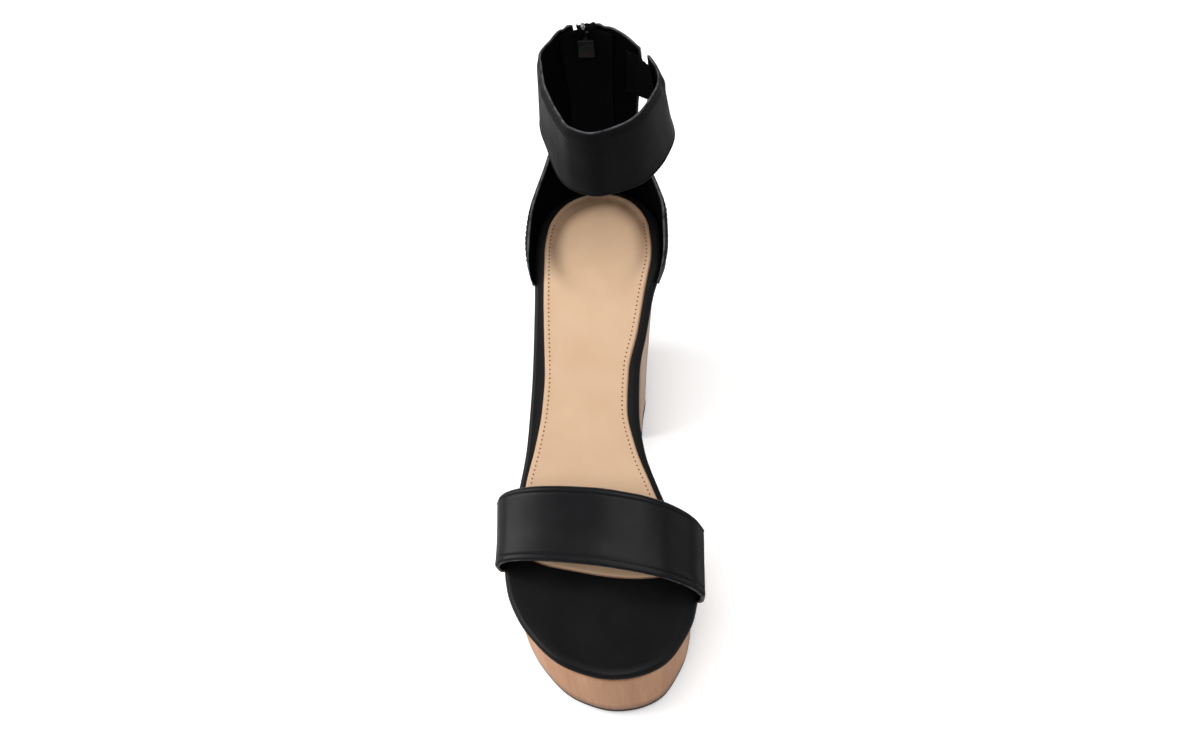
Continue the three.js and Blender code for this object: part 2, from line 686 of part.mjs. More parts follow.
// A point of the upper's inner face, moved outwards by out.
function upperPoint(turn, height, { out = 0, sweep = 0 } = {}) {
  const up = clamp((height - cuffBottom) / cuffHeight, 0, 1);
  const at = (place) => {
    const seat = seatPoint(place, sweep);
    const cuff = cuffInner(place + stripFlare * Math.sin(Math.PI * place) * up, height);
    const start = footbedTop(seat.along) + leanStart;
    const onCuff = Math.abs(place) > cornerTurn + 1e-6;
    const blend = onCuff ? 1 : smooth((height - start) / (cuffBottom - start));
    const aboveSeat = height - footbedTop(seat.along);
    const bulge = heelBulge * hump(aboveSeat / bulgeHeight) * Math.cos(Math.PI * (place - bulgeTurn));
    const aside = smooth(Math.abs(place) / cornerTurn);
    const proud = bulge + seatSpread * hump(aboveSeat / seatSpreadHeight) * aside;
    const reach = proud - lastedInset(height - footbedUnder(seat.along));
    return new THREE.Vector2(
      mix(seat.x + seat.outward.x * reach, cuff.x, blend),
      mix(seat.y + seat.outward.y * reach, cuff.y, blend),
    );
  };
  const here = at(turn);
  if (out) {
    const along = at(turn + 0.005).sub(at(turn - 0.005)).normalize();
    here.add(new THREE.Vector2(along.y, -along.x).multiplyScalar(-out));
  }
  return new THREE.Vector3(here.x, here.y, height);
}

// How far the upper's inner face lies inside the footbed's outline, at a height above its underside
function lastedInset(up) {
  const lift = up / footbedThickness;
  let i = 0;
  while (i < lastedRows.length - 2 && lift > lastedRows[i + 1].lift) i += 1;
  const share = clamp((lift - lastedRows[i].lift) / (lastedRows[i + 1].lift - lastedRows[i].lift), 0, 1);
  return mix(lastedRows[i].inset, lastedRows[i + 1].inset, share) * footbedThickness;
}

const quarterRise = curveThrough(quarterRows, (r) => r.around, (r) => r.rise);
const cuffRound = (Math.PI * (cuffWidth + cuffDepth)) / 2;
const turnAtDistance = (distance) => (2 * distance) / cuffRound;
const stripTurn = turnAtDistance(stripWidth / 2);
const slotTurn = turnAtDistance(zipSlotWidth / 2);
const goreTurn = stripTurn + turnAtDistance(goreWidth);
const rimHeight = (turn) => {
  const fromGore = Math.max(stripTurn - turn, turn - goreTurn, 0);
  return cuffTop - rimDip * (1 - smooth(fromGore / turnAtDistance(rimDipWidth)));
};
const topLine = (turn) => {
  const around = clamp((Math.abs(turn) - stripTurn) / (cornerTurn - stripTurn), 0, 1);
  return seatHeight + quarterHeight * quarterRise(around);
};

const spread = (from, to, count) => Array.from({ length: count }, (_, i) => mix(from, to, (i + 1) / count));

function quarter() {
  const half = [
    0,
    ...spread(0, slotTurn, 1),
    ...spread(slotTurn, stripTurn, 7),
    ...spread(stripTurn, goreTurn, 2),
    ...spread(goreTurn, cornerTurn, 9),
    ...spread(cornerTurn, 1, 18),
  ];
  const turns = [...half.slice().reverse(), ...half.slice(1, -1).map((turn) => -turn)];
  const zipShare = (zipBottomHeight - lastingRise) / (quarterHeight - lastingRise);
  const counterShares = [0, zipShare, mix(zipShare, 1, 0.33), mix(zipShare, 1, 0.67), 1];
  const stripShares = [0.33, 0.67, 1];
  const cuffShares = [0.25, 0.5, 0.75, 1];
  const firstCounter = lastedRows.length;
  const topRow = firstCounter + counterShares.length - 1;
  const cuffRow = topRow + stripShares.length;
  const zipRow = firstCounter + 1;
  const sweepAt = (j) => cornerSweep * clamp(1 - j / firstCounter, 0, 1);
  const heightAt = (turn, j) => {
    const seat = seatPoint(turn, sweepAt(j));
    const edge = topLine(turn);
    const foot = footbedTop(seat.along) + lastingRise;
    if (j < firstCounter) return footbedUnder(seat.along) + footbedThickness * lastedRows[j].lift;
    if (j <= topRow) return mix(foot, edge, counterShares[j - firstCounter]);
    if (j <= cuffRow) return mix(edge, cuffBottom, stripShares[j - topRow - 1]);
    return mix(cuffBottom, rimHeight(turn), cuffShares[j - cuffRow - 1]);
  };
  const cell = (i, j) => {
    const next = turns[(i + 1) % turns.length];
    const middle = next < turns[i] ? (turns[i] + next) / 2 : 1;
    const around = Math.abs(middle);
    if (around < slotTurn) return j < zipRow;
    if (around < stripTurn) return true;
    if (middle > 0 && middle < goreTurn && j >= cuffRow) return false;
    if (j >= cuffRow) return true;
    return around < cornerTurn && j < topRow;
  };
  const rows = cuffRow + cuffShares.length + 1;
  const point = (i, j) => upperPoint(turns[i], heightAt(turns[i], j), { sweep: sweepAt(j) });
  return wallFromGrid({ columns: turns.length, rows, point, cell, wall: upperWall, ring: true });
}

// Elastic between the back strip and the inner side of the cuff, sewn behind both
function elasticGore() {
  const overlap = (goreTurn - stripTurn) * (goreOverlap / goreWidth);
  const turns = [goreTurn + overlap, ...spread(goreTurn + overlap, stripTurn - overlap, 5)];
  const bottom = cuffBottom + goreLift;
  const heights = [bottom, ...spread(bottom, cuffTop - goreDrop, 4)];
  return wallFromGrid({
    columns: turns.length,
    rows: heights.length,
    point: (i, j) => upperPoint(turns[i], heights[j], { out: -gap - goreWall }),
    cell: () => true,
    wall: goreWall,
  });
}

// Zip: tapes behind the slot, the closed chain in it, and the slider at the top
const tapeBottom = seatHeight + zipBottomHeight - tapeRun;
const tapeTop = cuffTop - tapeDrop;
const sliderMiddle = cuffTop - sliderLength / 2 - sliderDrop;
const chainTop = sliderMiddle + sliderLength * 0.2;
const backFace = (height, out) => upperPoint(0, height).y + out;

function zipTapes() {
  const notch = turnAtDistance(tapeParting / 2);
  const reach = turnAtDistance(tapeWidth / 2);
  const half = [notch, ...spread(notch, reach, 4)];
  const turns = [...half.slice().reverse(), ...half.map((turn) => -turn)];
  const heights = [tapeBottom, ...spread(tapeBottom, chainTop, 9), tapeTop];
  const middle = half.length - 1;
  return wallFromGrid({
    columns: turns.length,
    rows: heights.length,
    point: (i, j) => upperPoint(turns[i], heights[j], { out: -gap - tapeThickness }),
    cell: (i, j) => i !== middle || j < heights.length - 2,
    wall: tapeThickness,
  });
}

function zipChain() {
  const bottom = seatHeight + zipBottomHeight + chainStart;
  const heights = [bottom, ...spread(bottom, chainTop, 12)];
  return wallFromGrid({
    columns: 2,
    rows: heights.length,
    point: (i, j) => new THREE.Vector3((0.5 - i) * chainWidth, backFace(heights[j], chainBack), heights[j]),
    cell: () => true,
    wall: chainThickness,
  });
}

const plateBack = backFace(cuffTop, chainBack) + chainThickness + sliderRoom;
const hingeY = plateBack + sliderPlate + pullRoom + pullBar / 2;

function zipSlider() {
  const flange = (sliderWidth - chainWidth) / 2 - sliderRoom;
  const front = backFace(cuffTop, 0);
  const low = front + sliderSpare;
  const flangeDepth = plateBack + sliderPlate / 2 - low;
  const side = sliderWidth / 2 - flange / 2;
  const outer = hingeY + pullBar / 2 + pullRoom;
  const postBack = plateBack + sliderPlate / 2;
  const postDepth = outer + bridgeBar - postBack;
  const postHeight = (bridgeLength - bridgeBar) / 2;
  const reach = turnAtDistance(sliderWidth / 2 + sliderSpare);
  const behind = Math.min(upperPoint(reach, cuffTop).y, upperPoint(-reach, cuffTop).y);
  const backPlate = behind - gap - tapeThickness - sliderRoom - sliderPlate / 2;
  const wedgeDepth = plateBack + sliderPlate / 2 - backPlate;
  const parts = [
    box(sliderWidth, sliderPlate, sliderLength, 0, plateBack + sliderPlate / 2, 0),
    box(flange, flangeDepth, sliderLength, side, low + flangeDepth / 2, 0),
    box(flange, flangeDepth, sliderLength, -side, low + flangeDepth / 2, 0),
    box(bridgeWidth, bridgeBar, bridgeLength, 0, outer + bridgeBar / 2, 0),
    box(bridgeWidth, postDepth, bridgeBar, 0, postBack + postDepth / 2, postHeight),
    box(bridgeWidth, postDepth, bridgeBar, 0, postBack + postDepth / 2, -postHeight),
    box(wedgeWidth, wedgeDepth, wedgeLength, 0, backPlate + wedgeDepth / 2, (sliderLength - wedgeLength) / 2),
    box(sliderWidth, sliderPlate, sliderLength, 0, backPlate, 0),
  ];
  return joined(...parts).translate(0, 0, sliderMiddle);
}

// The pull tab hangs from a bar under the slider's bridge.
function zipPull() {
  const armX = bridgeWidth / 2 + pullRoom + pullArm / 2;
  const armLength = bridgeLength / 2 + windowRoom + pullArm / 2;
  const windowLength = bridgeLength / 2 + windowRoom;
  const tabLength = pullLength - windowLength;
  const barLength = 2 * armX + pullArm;
  const bar = new THREE.CylinderGeometry(pullBar / 2, pullBar / 2, barLength, 16).rotateZ(Math.PI / 2);
  const parts = [
    bar,
    box(pullArm, pullThickness, armLength, armX, 0, -armLength / 2),
    box(pullArm, pullThickness, armLength, -armX, 0, -armLength / 2),
    box(pullWidth, pullThickness, tabLength, 0, 0, -windowLength - tabLength / 2),
  ];
  return joined(...parts);
}

add("footbed", footbed(), "blackLeather");
add("sock_pad", sockPad(), "tanSock");
add("platform", platform(), "wood");
add("outsole", outsole(), "rubber");
add("block_heel", blockHeel(), "wood");
add("heel_top_piece", heelTopPiece(), "rubber");
add("toe_band", vampBand(), "blackLeather");
add("heel_quarter", quarter(), "blackLeather");
add("elastic_gore", elasticGore(), "textile");
add("zip_tapes", zipTapes(), "textile");
add("zip_chain", zipChain(), "zipMetal");
add("zip_slider", zipSlider(), "zipMetal");
const pull = add("zip_pull", zipPull(), "zipMetal");
pull.position.set(0, hingeY, sliderMiddle);

const size = new THREE.Box3().setFromObject(shoe);
const middle = size.getCenter(new THREE.Vector3());
shoe.position.set(-middle.x, -middle.y, -size.min.z);

export default shoe;
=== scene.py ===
import math
from bisect import bisect_right

import bmesh
import bpy
import numpy as np
from mathutils import Matrix, Vector, kdtree


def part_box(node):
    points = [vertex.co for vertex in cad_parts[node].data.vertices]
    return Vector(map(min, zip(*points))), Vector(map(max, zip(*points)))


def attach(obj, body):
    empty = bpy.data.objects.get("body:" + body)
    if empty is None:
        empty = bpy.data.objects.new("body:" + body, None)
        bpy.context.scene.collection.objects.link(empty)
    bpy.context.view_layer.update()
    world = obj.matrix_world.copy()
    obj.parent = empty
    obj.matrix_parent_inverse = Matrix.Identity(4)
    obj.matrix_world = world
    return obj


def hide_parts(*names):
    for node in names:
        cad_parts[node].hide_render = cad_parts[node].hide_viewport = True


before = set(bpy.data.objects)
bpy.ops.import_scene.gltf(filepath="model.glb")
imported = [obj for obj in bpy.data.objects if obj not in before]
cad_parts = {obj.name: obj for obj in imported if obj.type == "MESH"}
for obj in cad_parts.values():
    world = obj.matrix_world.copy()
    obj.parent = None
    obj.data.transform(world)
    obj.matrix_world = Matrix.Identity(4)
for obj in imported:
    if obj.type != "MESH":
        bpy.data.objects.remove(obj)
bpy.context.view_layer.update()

# Sizes shared with the frame, in millimetres
GAP = 0.3
LENGTH = 222.0
SEAT_WIDTH = 60.0
WAIST_WIDTH = 50.0
BALL_WIDTH = 87.5
FOOTBED_THICKNESS = 7.5
SEAT_HEIGHT = 111.0
TOE_SPRING = 3.5
SOCK_THICKNESS = 1.8
OUTSOLE_THICKNESS = 2.5
PLATFORM_HEIGHT = 33.0
PLATFORM_REAR_EDGE = 2.5
PLATFORM_WIDTH = 0.962
PLATFORM_INSET = 1.2
PLATFORM_UNDERCUT = 1.2
REAR_CURVE = 1.25
OUTSOLE_INSET = 0.4
HEEL_LENGTH = 69.0
HEEL_INSET = 0.8
TOP_PIECE = 4.0
UPPER_WALL = 1.8
LASTING_RISE = 0.5
BAND_WALL = 2.2
BAND_LENGTH = 28.2
BAND_WIDTH = 93.6
BAND_SHIFT = -0.3
BAND_FRONT_ARCH = 20.0
BAND_BACK_ARCH = 30.5
BAND_SKEW = 0.18
BAND_END_SWEEP = 3.0
HEEL_BULGE = 1.6
BULGE_TURN = -0.1
BULGE_HEIGHT = 50.0
SEAT_SPREAD = 1.3
SEAT_SPREAD_HEIGHT = 17.0
LEAN_START = 4.0
STRIP_WIDTH = 44.0
CUFF_WIDTH = 53.5
CUFF_DEPTH = 67.6
CUFF_BACK = 1.2
CUFF_HEIGHT = 36.0
CUFF_TOP = SEAT_HEIGHT + 102.5
CUFF_BOTTOM = CUFF_TOP - CUFF_HEIGHT
FLARE_FADE = 20.0
STRIP_FLARE = 0.1
RIM_DIP = 1.6
RIM_DIP_WIDTH = 9.0
GORE_WALL = 1.2
GORE_WIDTH = 5.2
GORE_OVERLAP = 4.0
GORE_DROP = 4.6
GORE_LIFT = 5.6
ZIP_SLOT = 9.0
ZIP_BOTTOM = SEAT_HEIGHT + 12.0
TAPE_WIDTH = 22.0
TAPE_THICKNESS = 0.8
SLIDER_LENGTH = 9.0
SLIDER_DROP = 6.0
PLATFORM_TOP = OUTSOLE_THICKNESS + GAP + PLATFORM_HEIGHT
FOREFOOT_TOP = PLATFORM_TOP + GAP + FOOTBED_THICKNESS

MM = 0.001
chain_low, chain_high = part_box("zip_chain")
_, footbed_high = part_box("footbed")
SHIFT_X = (chain_low.x + chain_high.x) / 2 / MM
SHIFT_Y = footbed_high.y / MM

# Footbed outline: share along the length, the width it is measured in, and the two sides as shares of it.
S, W, B = SEAT_WIDTH, WAIST_WIDTH, BALL_WIDTH
OUTLINE = [
    (0, S, 0, 0), (0.012, S, 0.2, 0.2), (0.05, S, 0.385, 0.385), (0.12, S, 0.485, 0.485),
    (0.19, S, 0.5, 0.49), (0.26, S, 0.495, 0.42), (0.33, W, 0.6, 0.44), (0.4, W, 0.615, 0.37),
    (0.47, W, 0.645, 0.36), (0.53, W, 0.68, 0.4), (0.6, B, 0.43, 0.3), (0.67, B, 0.47, 0.39),
    (0.74, B, 0.5, 0.465), (0.8, B, 0.479, 0.498), (0.86, B, 0.42, 0.478), (0.92, B, 0.315, 0.415),
    (0.965, B, 0.195, 0.335), (0.99, B, 0.06, 0.225), (1, B, -0.075, 0.075),
]
SOCK_BACK, SOCK_FRONT = 0.0225, 0.784
# Sock pad outline: the same columns, along the pad's own length
SOCK = [
    (0, S, 0, 0), (0.015, S, 0.18, 0.18), (0.06, S, 0.32, 0.32), (0.12, S, 0.395, 0.39),
    (0.2, S, 0.42, 0.412), (0.31, S, 0.42, 0.355), (0.41, W, 0.5, 0.36), (0.5, W, 0.495, 0.275),
    (0.59, W, 0.525, 0.255), (0.67, W, 0.59, 0.32), (0.76, B, 0.39, 0.262), (0.85, B, 0.415, 0.345),
    (0.92, B, 0.41, 0.395), (0.955, B, 0.3, 0.41), (0.98, B, 0.1, 0.395), (1, B, -0.2, 0.2),
]
# Side line: share along, share of the drop from the heel seat to the forefoot
RISE = [(0, 1), (0.1, 0.985), (0.2, 0.93), (0.3, 0.81), (0.4, 0.62), (0.5, 0.4), (0.6, 0.19),
        (0.68, 0.06), (0.76, 0), (1, 0)]
SPRING_START = 0.8
CONTACT_REAR = 0.66
PLATFORM_REAR = 0.46
# Rounded footbed edge and the upper lasted round it: lift and inset as shares of the footbed's thickness
EDGE = [(0, 0.6), (0.13, 0.35), (0.38, 0.13), (0.58, 0), (0.8, 0.065), (0.95, 0.24), (1, 0.5)]
LASTED = [(0.18, 0.235), (0.38, 0.08), (0.6, -0.045)]
BAND_LASTED = [(0.34, 0.1), (0.5, 0), (0.66, -0.05)]
# Block heel: height share, width share, back share, breast share, and what each side stands out further at
# the breast, as a share of the seat's width
HEEL = [(0, 0.54, 0.12, 1.03, 0.076), (0.25, 0.6, 0.095, 1.02, 0.069), (0.5, 0.69, 0.065, 1.01, 0.053),
        (0.75, 0.79, 0.035, 1, 0.03), (1, 0.89, 0, 1, 0)]
BAND_CENTRE = 0.797
# Toe band: side share, rise share
BAND = [(-1, 0.22), (-0.96, 0.4), (-0.87, 0.56), (-0.72, 0.71), (-0.5, 0.84), (-0.22, 0.94),
        (0.1, 1), (0.38, 0.98), (0.62, 0.89), (0.8, 0.73), (0.93, 0.52), (1, 0.28)]
QUARTER_HEIGHT = 38.0
QUARTER_CORNER = 0.239
# Heel quarter's top line: share round from the strip's edge to the front corner, rise share
QUARTER = [(0, 1), (0.08, 0.68), (0.2, 0.49), (0.4, 0.36), (0.62, 0.29), (0.8, 0.21), (0.92, 0.03),
           (1, -0.2)]
CORNER_TURN = 0.55
CORNER_SWEEP = 0.1
# Cuff outline: turn round from the zip, side and fore shares at the top edge, and the same at the bottom edge
CUFF = [
    (-1, 0.084, 1, 0.101, 0.98), (-0.85, -0.095, 0.944, -0.086, 0.931),
    (-0.7, -0.19, 0.818, -0.215, 0.826), (-0.5, -0.3, 0.584, -0.321, 0.588),
    (-0.3, -0.362, 0.3, -0.402, 0.315), (-0.2, -0.282, 0.152, -0.3, 0.152),
    (-0.1, -0.175, 0.038, -0.178, 0.036), (0, 0, 0, 0, 0), (0.1, 0.163, 0.031, 0.168, 0.028),
    (0.2, 0.318, 0.11, 0.34, 0.098), (0.3, 0.456, 0.219, 0.514, 0.182), (0.4, 0.552, 0.346, 0.645, 0.286),
    (0.55, 0.61, 0.534, 0.693, 0.471), (0.7, 0.522, 0.75, 0.626, 0.67), (0.85, 0.358, 0.913, 0.42, 0.892),
    (1, 0.084, 1, 0.101, 0.98),
]


def clamp(value, low, high):
    return min(max(value, low), high)


def mix(a, b, share):
    return a + (b - a) * share


def smooth(share):
    s = clamp(share, 0, 1)
    return s * s * (3 - 2 * s)


def hump(share):
    return math.sin(math.pi * clamp(share, 0, 1))


def curve_through(knots, values):
    """A smooth curve through a table's rows that never overshoots them."""
    chord = [(values[i + 1] - values[i]) / (knots[i + 1] - knots[i]) for i in range(len(knots) - 1)]
    slope = [chord[0]]
    for before, after in zip(chord, chord[1:]):
        slope.append(0 if before * after <= 0 else 2 * before * after / (before + after))
    slope.append(chord[-1])

    def at(place):
        x = clamp(place, knots[0], knots[-1])
        i = clamp(bisect_right(knots, x) - 1, 0, len(knots) - 2)
        step = knots[i + 1] - knots[i]
        s = (x - knots[i]) / step
        rise = values[i + 1] - values[i]
        start, end = slope[i] * step, slope[i + 1] * step
        return values[i] + s * (start + s * (3 * rise - 2 * start - end + s * (start + end - 2 * rise)))

    return at


def curve_of(rows, column=1):
    """The smooth curve through one column of a table."""
    return curve_through([r[0] for r in rows], [r[column] for r in rows])


def turn_of(along):
    return math.acos(1 - 2 * clamp(along, 0, 1)) / math.pi


def along_of(turn):
    return (1 - math.cos(math.pi * turn)) / 2


class Outline:
    def __init__(self, rows):
        knots = [turn_of(r[0]) for r in rows]
        outer = curve_through(knots, [-r[1] * r[2] for r in rows])
        inner = curve_through(knots, [r[1] * r[3] for r in rows])
        self.lateral = lambda along: outer(turn_of(along))
        self.medial = lambda along: inner(turn_of(along))


footbed_edge = Outline(OUTLINE)
sock_edge = Outline(SOCK)
rise_at = curve_of(RISE)


def toe_lift(along):
    return TOE_SPRING * clamp((along - SPRING_START) / (1 - SPRING_START), 0, 1) ** 2


def footbed_top(along):
    return mix(FOREFOOT_TOP, SEAT_HEIGHT, rise_at(along)) + toe_lift(along)


def footbed_under(along):
    return footbed_top(along) - FOOTBED_THICKNESS


def sole_line(along):
    """Lowest line of the outsole."""
    under = footbed_under(along) - GAP - PLATFORM_REAR_EDGE - OUTSOLE_THICKNESS - GAP
    filled = clamp((along - PLATFORM_REAR) / (CONTACT_REAR - PLATFORM_REAR), 0, 1)
    return toe_lift(along) if along >= CONTACT_REAR else under * (1 - filled**REAR_CURVE)


def place(x, y, z):
    return ((x + SHIFT_X) * MM, (y + SHIFT_Y) * MM, z * MM)


# Meshes


def put_in_scene(name, data):
    thing = bpy.data.objects.new(name, data)
    bpy.context.scene.collection.objects.link(thing)
    return thing


def make_piece(name, vertices, faces, materials, face_slots=None, marks=None, sharp=50):
    """A mesh object from points in shoe millimetres. Points that coincide are welded first."""
    points = np.asarray(vertices, float)
    _, first, index = np.unique(np.round(points, 4), axis=0, return_index=True, return_inverse=True)
    index = index.ravel()
    kept, slots = [], []
    for number, face in enumerate(faces):
        ring = [int(index[v]) for v in face]
        ring = [v for k, v in enumerate(ring) if v != ring[k - 1]]
        if len(set(ring)) < 3:
            continue
        kept.append(ring)
        slots.append(face_slots[number] if face_slots is not None else 0)
    points = points[first]
    mesh = bpy.data.meshes.new(name)
    moved = (points + [SHIFT_X, SHIFT_Y, 0]) * MM
    mesh.from_pydata(moved.tolist(), [], kept)
    for material in materials:
        mesh.materials.append(material)
    mesh.polygons.foreach_set("material_index", slots)
    for mark, values in (marks or {}).items():
        layer = mesh.attributes.new(mark, "FLOAT", "POINT")
        layer.data.foreach_set("value", np.asarray(values, np.float32)[first])
    mesh.validate()
    mesh.shade_smooth()
    mesh.set_sharp_from_angle(angle=math.radians(sharp))
    return put_in_scene(name, mesh)


class Chain:
    """The two sides of an outline at matching y values, which can be moved inwards."""

    def __init__(self, y, lateral, medial):
        self.y, self.lateral, self.medial = map(np.array, (y, lateral, medial))

    def inset(self, amount):
        y, lateral, medial = self.y, self.lateral, self.medial
        n = len(y)
        loop = np.vstack([np.column_stack([lateral, y]), np.column_stack([medial, y])[::-1]])
        keys = [tuple(np.round(p, 6)) for p in loop]
        order = [i for i in range(2 * n) if keys[i] != keys[(i + 1) % (2 * n)]]
        ring = loop[order]
        step = np.roll(ring, -1, 0) - np.roll(ring, 1, 0)
        step /= np.linalg.norm(step, axis=1, keepdims=True)
        moved = ring + np.column_stack([-step[:, 1], step[:, 0]]) * amount
        where = {keys[i]: moved[k] for k, i in enumerate(order)}
        outer = np.array([where[keys[i]] for i in range(n)])
        inner = np.array([where[keys[2 * n - 1 - i]] for i in range(n)])
        share = (y - y[0]) / (y[-1] - y[0])
        new_y = outer[0, 1] + share * (outer[-1, 1] - outer[0, 1])
        cross = lambda line: np.interp(-new_y, -line[:, 1], line[:, 0])
        return new_y, cross(outer), cross(inner)


def outline_chain(edge, steps, along_at=lambda share: share):
    shares = [along_of(i / steps) for i in range(steps + 1)]
    places = [along_at(s) for s in shares]
    return Chain(
        [-a * LENGTH for a in places],
        [edge.lateral(s) for s in shares],
        [edge.medial(s) for s in shares],
    )


def ring_of(chain, inset, height_at):
    """A closed ring of points round a chain moved inwards, each at the height found from its y."""
    y, lateral, medial = chain.inset(inset)
    z = [height_at(v) for v in y]
    return list(zip(lateral, y, z)) + list(zip(medial, y, z))[::-1]


def faces_between(levels, ring):
    """The faces between rings of points stacked upwards."""
    faces = []
    for level in range(levels - 1):
        for i in range(ring):
            a, b = level * ring + i, level * ring + (i + 1) % ring
            faces.append((a, b, b + ring, a + ring))
    return faces


def plate(name, chain, layers, low, high, materials, columns=24, shape=None, marks=None):
    """A closed plate from rings stacked upwards. A layer is a share of the height, an inset and a lift."""
    points = []
    n = len(chain.y)
    for share, inset, lift in layers:
        points += ring_of(chain, inset, lambda y: mix(low(-y / LENGTH), high(-y / LENGTH), share) + lift)
    ring = 2 * n
    faces = faces_between(len(layers), ring)
    for top in (False, True):
        start = (len(layers) - 1) * ring if top else 0
        rows = []
        for i in range(n):
            a, b = points[start + i], points[start + ring - 1 - i]
            row = [start + i]
            for c in range(1, columns):
                x = mix(a[0], b[0], c / columns)
                z = a[2] + (shape(x, a[1]) if top and shape else 0)
                row.append(len(points))
                points.append((x, a[1], z))
            rows.append(row + [start + ring - 1 - i])
        for i in range(n - 1):
            for c in range(columns):
                quad = (rows[i][c], rows[i + 1][c], rows[i + 1][c + 1], rows[i][c + 1])
                faces.append(quad if top else quad[::-1])
    marks = {k: [f(*p) for p in points] for k, f in (marks or {}).items()}
    return make_piece(name, points, faces, materials, marks=marks)


def every_cell(i, j):
    return True


def wall(name, grid, keep, thickness, materials, closed=False, rim=0.45, relief=None):
    """A wall on a grid of inner points, with rounded rims round every opening.

    relief holds what the outer face stands proud of the even thickness, a value for each grid point.
    """
    rim_steps, edge_reach, crest_at = 6, 1.5, 0.6
    grid = np.asarray(grid, float)
    nu, nv = grid.shape[:2]
    cells = [(i, j) for i in range(nu if closed else nu - 1) for j in range(nv - 1) if keep(i, j)]
    normal = np.zeros_like(grid)
    quads = []
    for i, j in cells:
        k = (i + 1) % nu
        corners = ((i, j), (k, j), (k, j + 1), (i, j + 1))
        a, b, c, d = (grid[p] for p in corners)
        face = np.cross(c - a, d - b)
        for p in corners:
            normal[p] += face
        quads.append(corners)
    size = np.linalg.norm(normal, axis=2, keepdims=True)
    normal /= np.where(size > 0, size, 1)
    proud = np.zeros(grid.shape[:2]) if relief is None else np.asarray(relief, float)
    outer = grid + normal * (thickness + proud)[..., None]
    used, points = {}, []

    def point(key, position):
        if key not in used:
            used[key] = len(points)
            points.append(position)
        return used[key]

    faces, slots, directed = [], [], {}
    for corners in quads:
        faces.append([point(("o", p), outer[p]) for p in corners])
        slots.append(0)
        faces.append([point(("i", p), grid[p]) for p in reversed(corners)])
        slots.append(1 if len(materials) > 1 else 0)
        for k in range(4):
            directed[(corners[k], corners[(k + 1) % 4])] = True
    border = [(a, b) for a, b in directed if (b, a) not in directed]
    away = {}
    for a, b in border:
        side = np.cross(outer[b] - outer[a], normal[a] + normal[b])
        side /= np.linalg.norm(side) + 1e-12
        for p in (a, b):
            away[p] = away.get(p, 0) + side
    away = {p: v / (np.linalg.norm(v) + 1e-12) for p, v in away.items()}
    for a, b in border:
        for k in range(rim_steps):
            strip = []
            for p, s in ((b, k), (a, k), (a, k + 1), (b, k + 1)):
                t = s / rim_steps
                if s in (0, rim_steps):
                    strip.append(point(("o" if s == 0 else "i", p), None))
                    continue
                bulge = rim * thickness * math.sin(math.pi * t**1.4)
                spot = mix(outer[p], grid[p], (1 - math.cos(math.pi * t)) / 2) + away[p] * bulge
                strip.append(point(("r", p, s), spot))
            faces.append(strip)
            slots.append(0)
    # The edge mark grows towards each rim's crest, where the leather lays its rubbed tone and a painted
    # highlight
    tree = kdtree.KDTree(max(len(away), 1))
    for number, p in enumerate(away):
        tree.insert(mix(outer[p], grid[p], crest_at) + away[p] * rim * thickness, number)
    tree.balance()
    near = [max(0.0, 1 - tree.find(q)[2] / edge_reach) for q in points]
    return make_piece(name, points, faces, materials, slots, {"edge": near}, sharp=70)


# The upper's surface, from the same tables as the frame


def seat_point(turn, sweep=0.0):
    along = along_of(turn_of(QUARTER_CORNER) * min(abs(turn) / CORNER_TURN, 1) * (1 - sweep))
    edge = footbed_edge.lateral if turn < 0 else footbed_edge.medial
    step = 1e-3
    tx, ty = edge(along + step) - edge(along), -step * LENGTH
    size = math.hypot(tx, ty)
    sign = -1 if turn < 0 else 1
    outward = (sign * -ty / size, sign * tx / size) if abs(turn) >= 1e-3 else (0.0, 1.0)
    return along, edge(along), -along * LENGTH, outward


last_row, first_row = CUFF[-2], CUFF[1]
CLOSED_CUFF = [(last_row[0] - 2, *last_row[1:])] + CUFF + [(first_row[0] + 2, *first_row[1:])]
cuff_side, cuff_fore, cuff_low_side, cuff_low_fore = (curve_of(CLOSED_CUFF, c) for c in (1, 2, 3, 4))


def cuff_outer(turn, height):
    down = clamp((CUFF_TOP - height) / CUFF_HEIGHT, 0, 1) - clamp((CUFF_BOTTOM - height) / FLARE_FADE, 0, 1)
    side = mix(cuff_side(turn), cuff_low_side(turn), down)
    fore = mix(cuff_fore(turn), cuff_low_fore(turn), down)
    return side * CUFF_WIDTH, -CUFF_BACK - fore * CUFF_DEPTH


def set_off(plan, turn, step, reach):
    """A point of a plan curve moved outwards by reach, square to the chord a step either side of it."""
    ax, ay = plan(turn - step)
    bx, by = plan(turn + step)
    size = math.hypot(bx - ax, by - ay)
    x, y = plan(turn)
    return x - (by - ay) / size * reach, y + (bx - ax) / size * reach


def cuff_inner(turn, height):
    return set_off(lambda t: cuff_outer(t, height), turn, 0.01, -UPPER_WALL)


def lasted_inset(up):
    lift = up / FOOTBED_THICKNESS
    i = 0
    while i < len(LASTED) - 2 and lift > LASTED[i + 1][0]:
        i += 1
    share = clamp((lift - LASTED[i][0]) / (LASTED[i + 1][0] - LASTED[i][0]), 0, 1)
    return mix(LASTED[i][1], LASTED[i + 1][1], share) * FOOTBED_THICKNESS


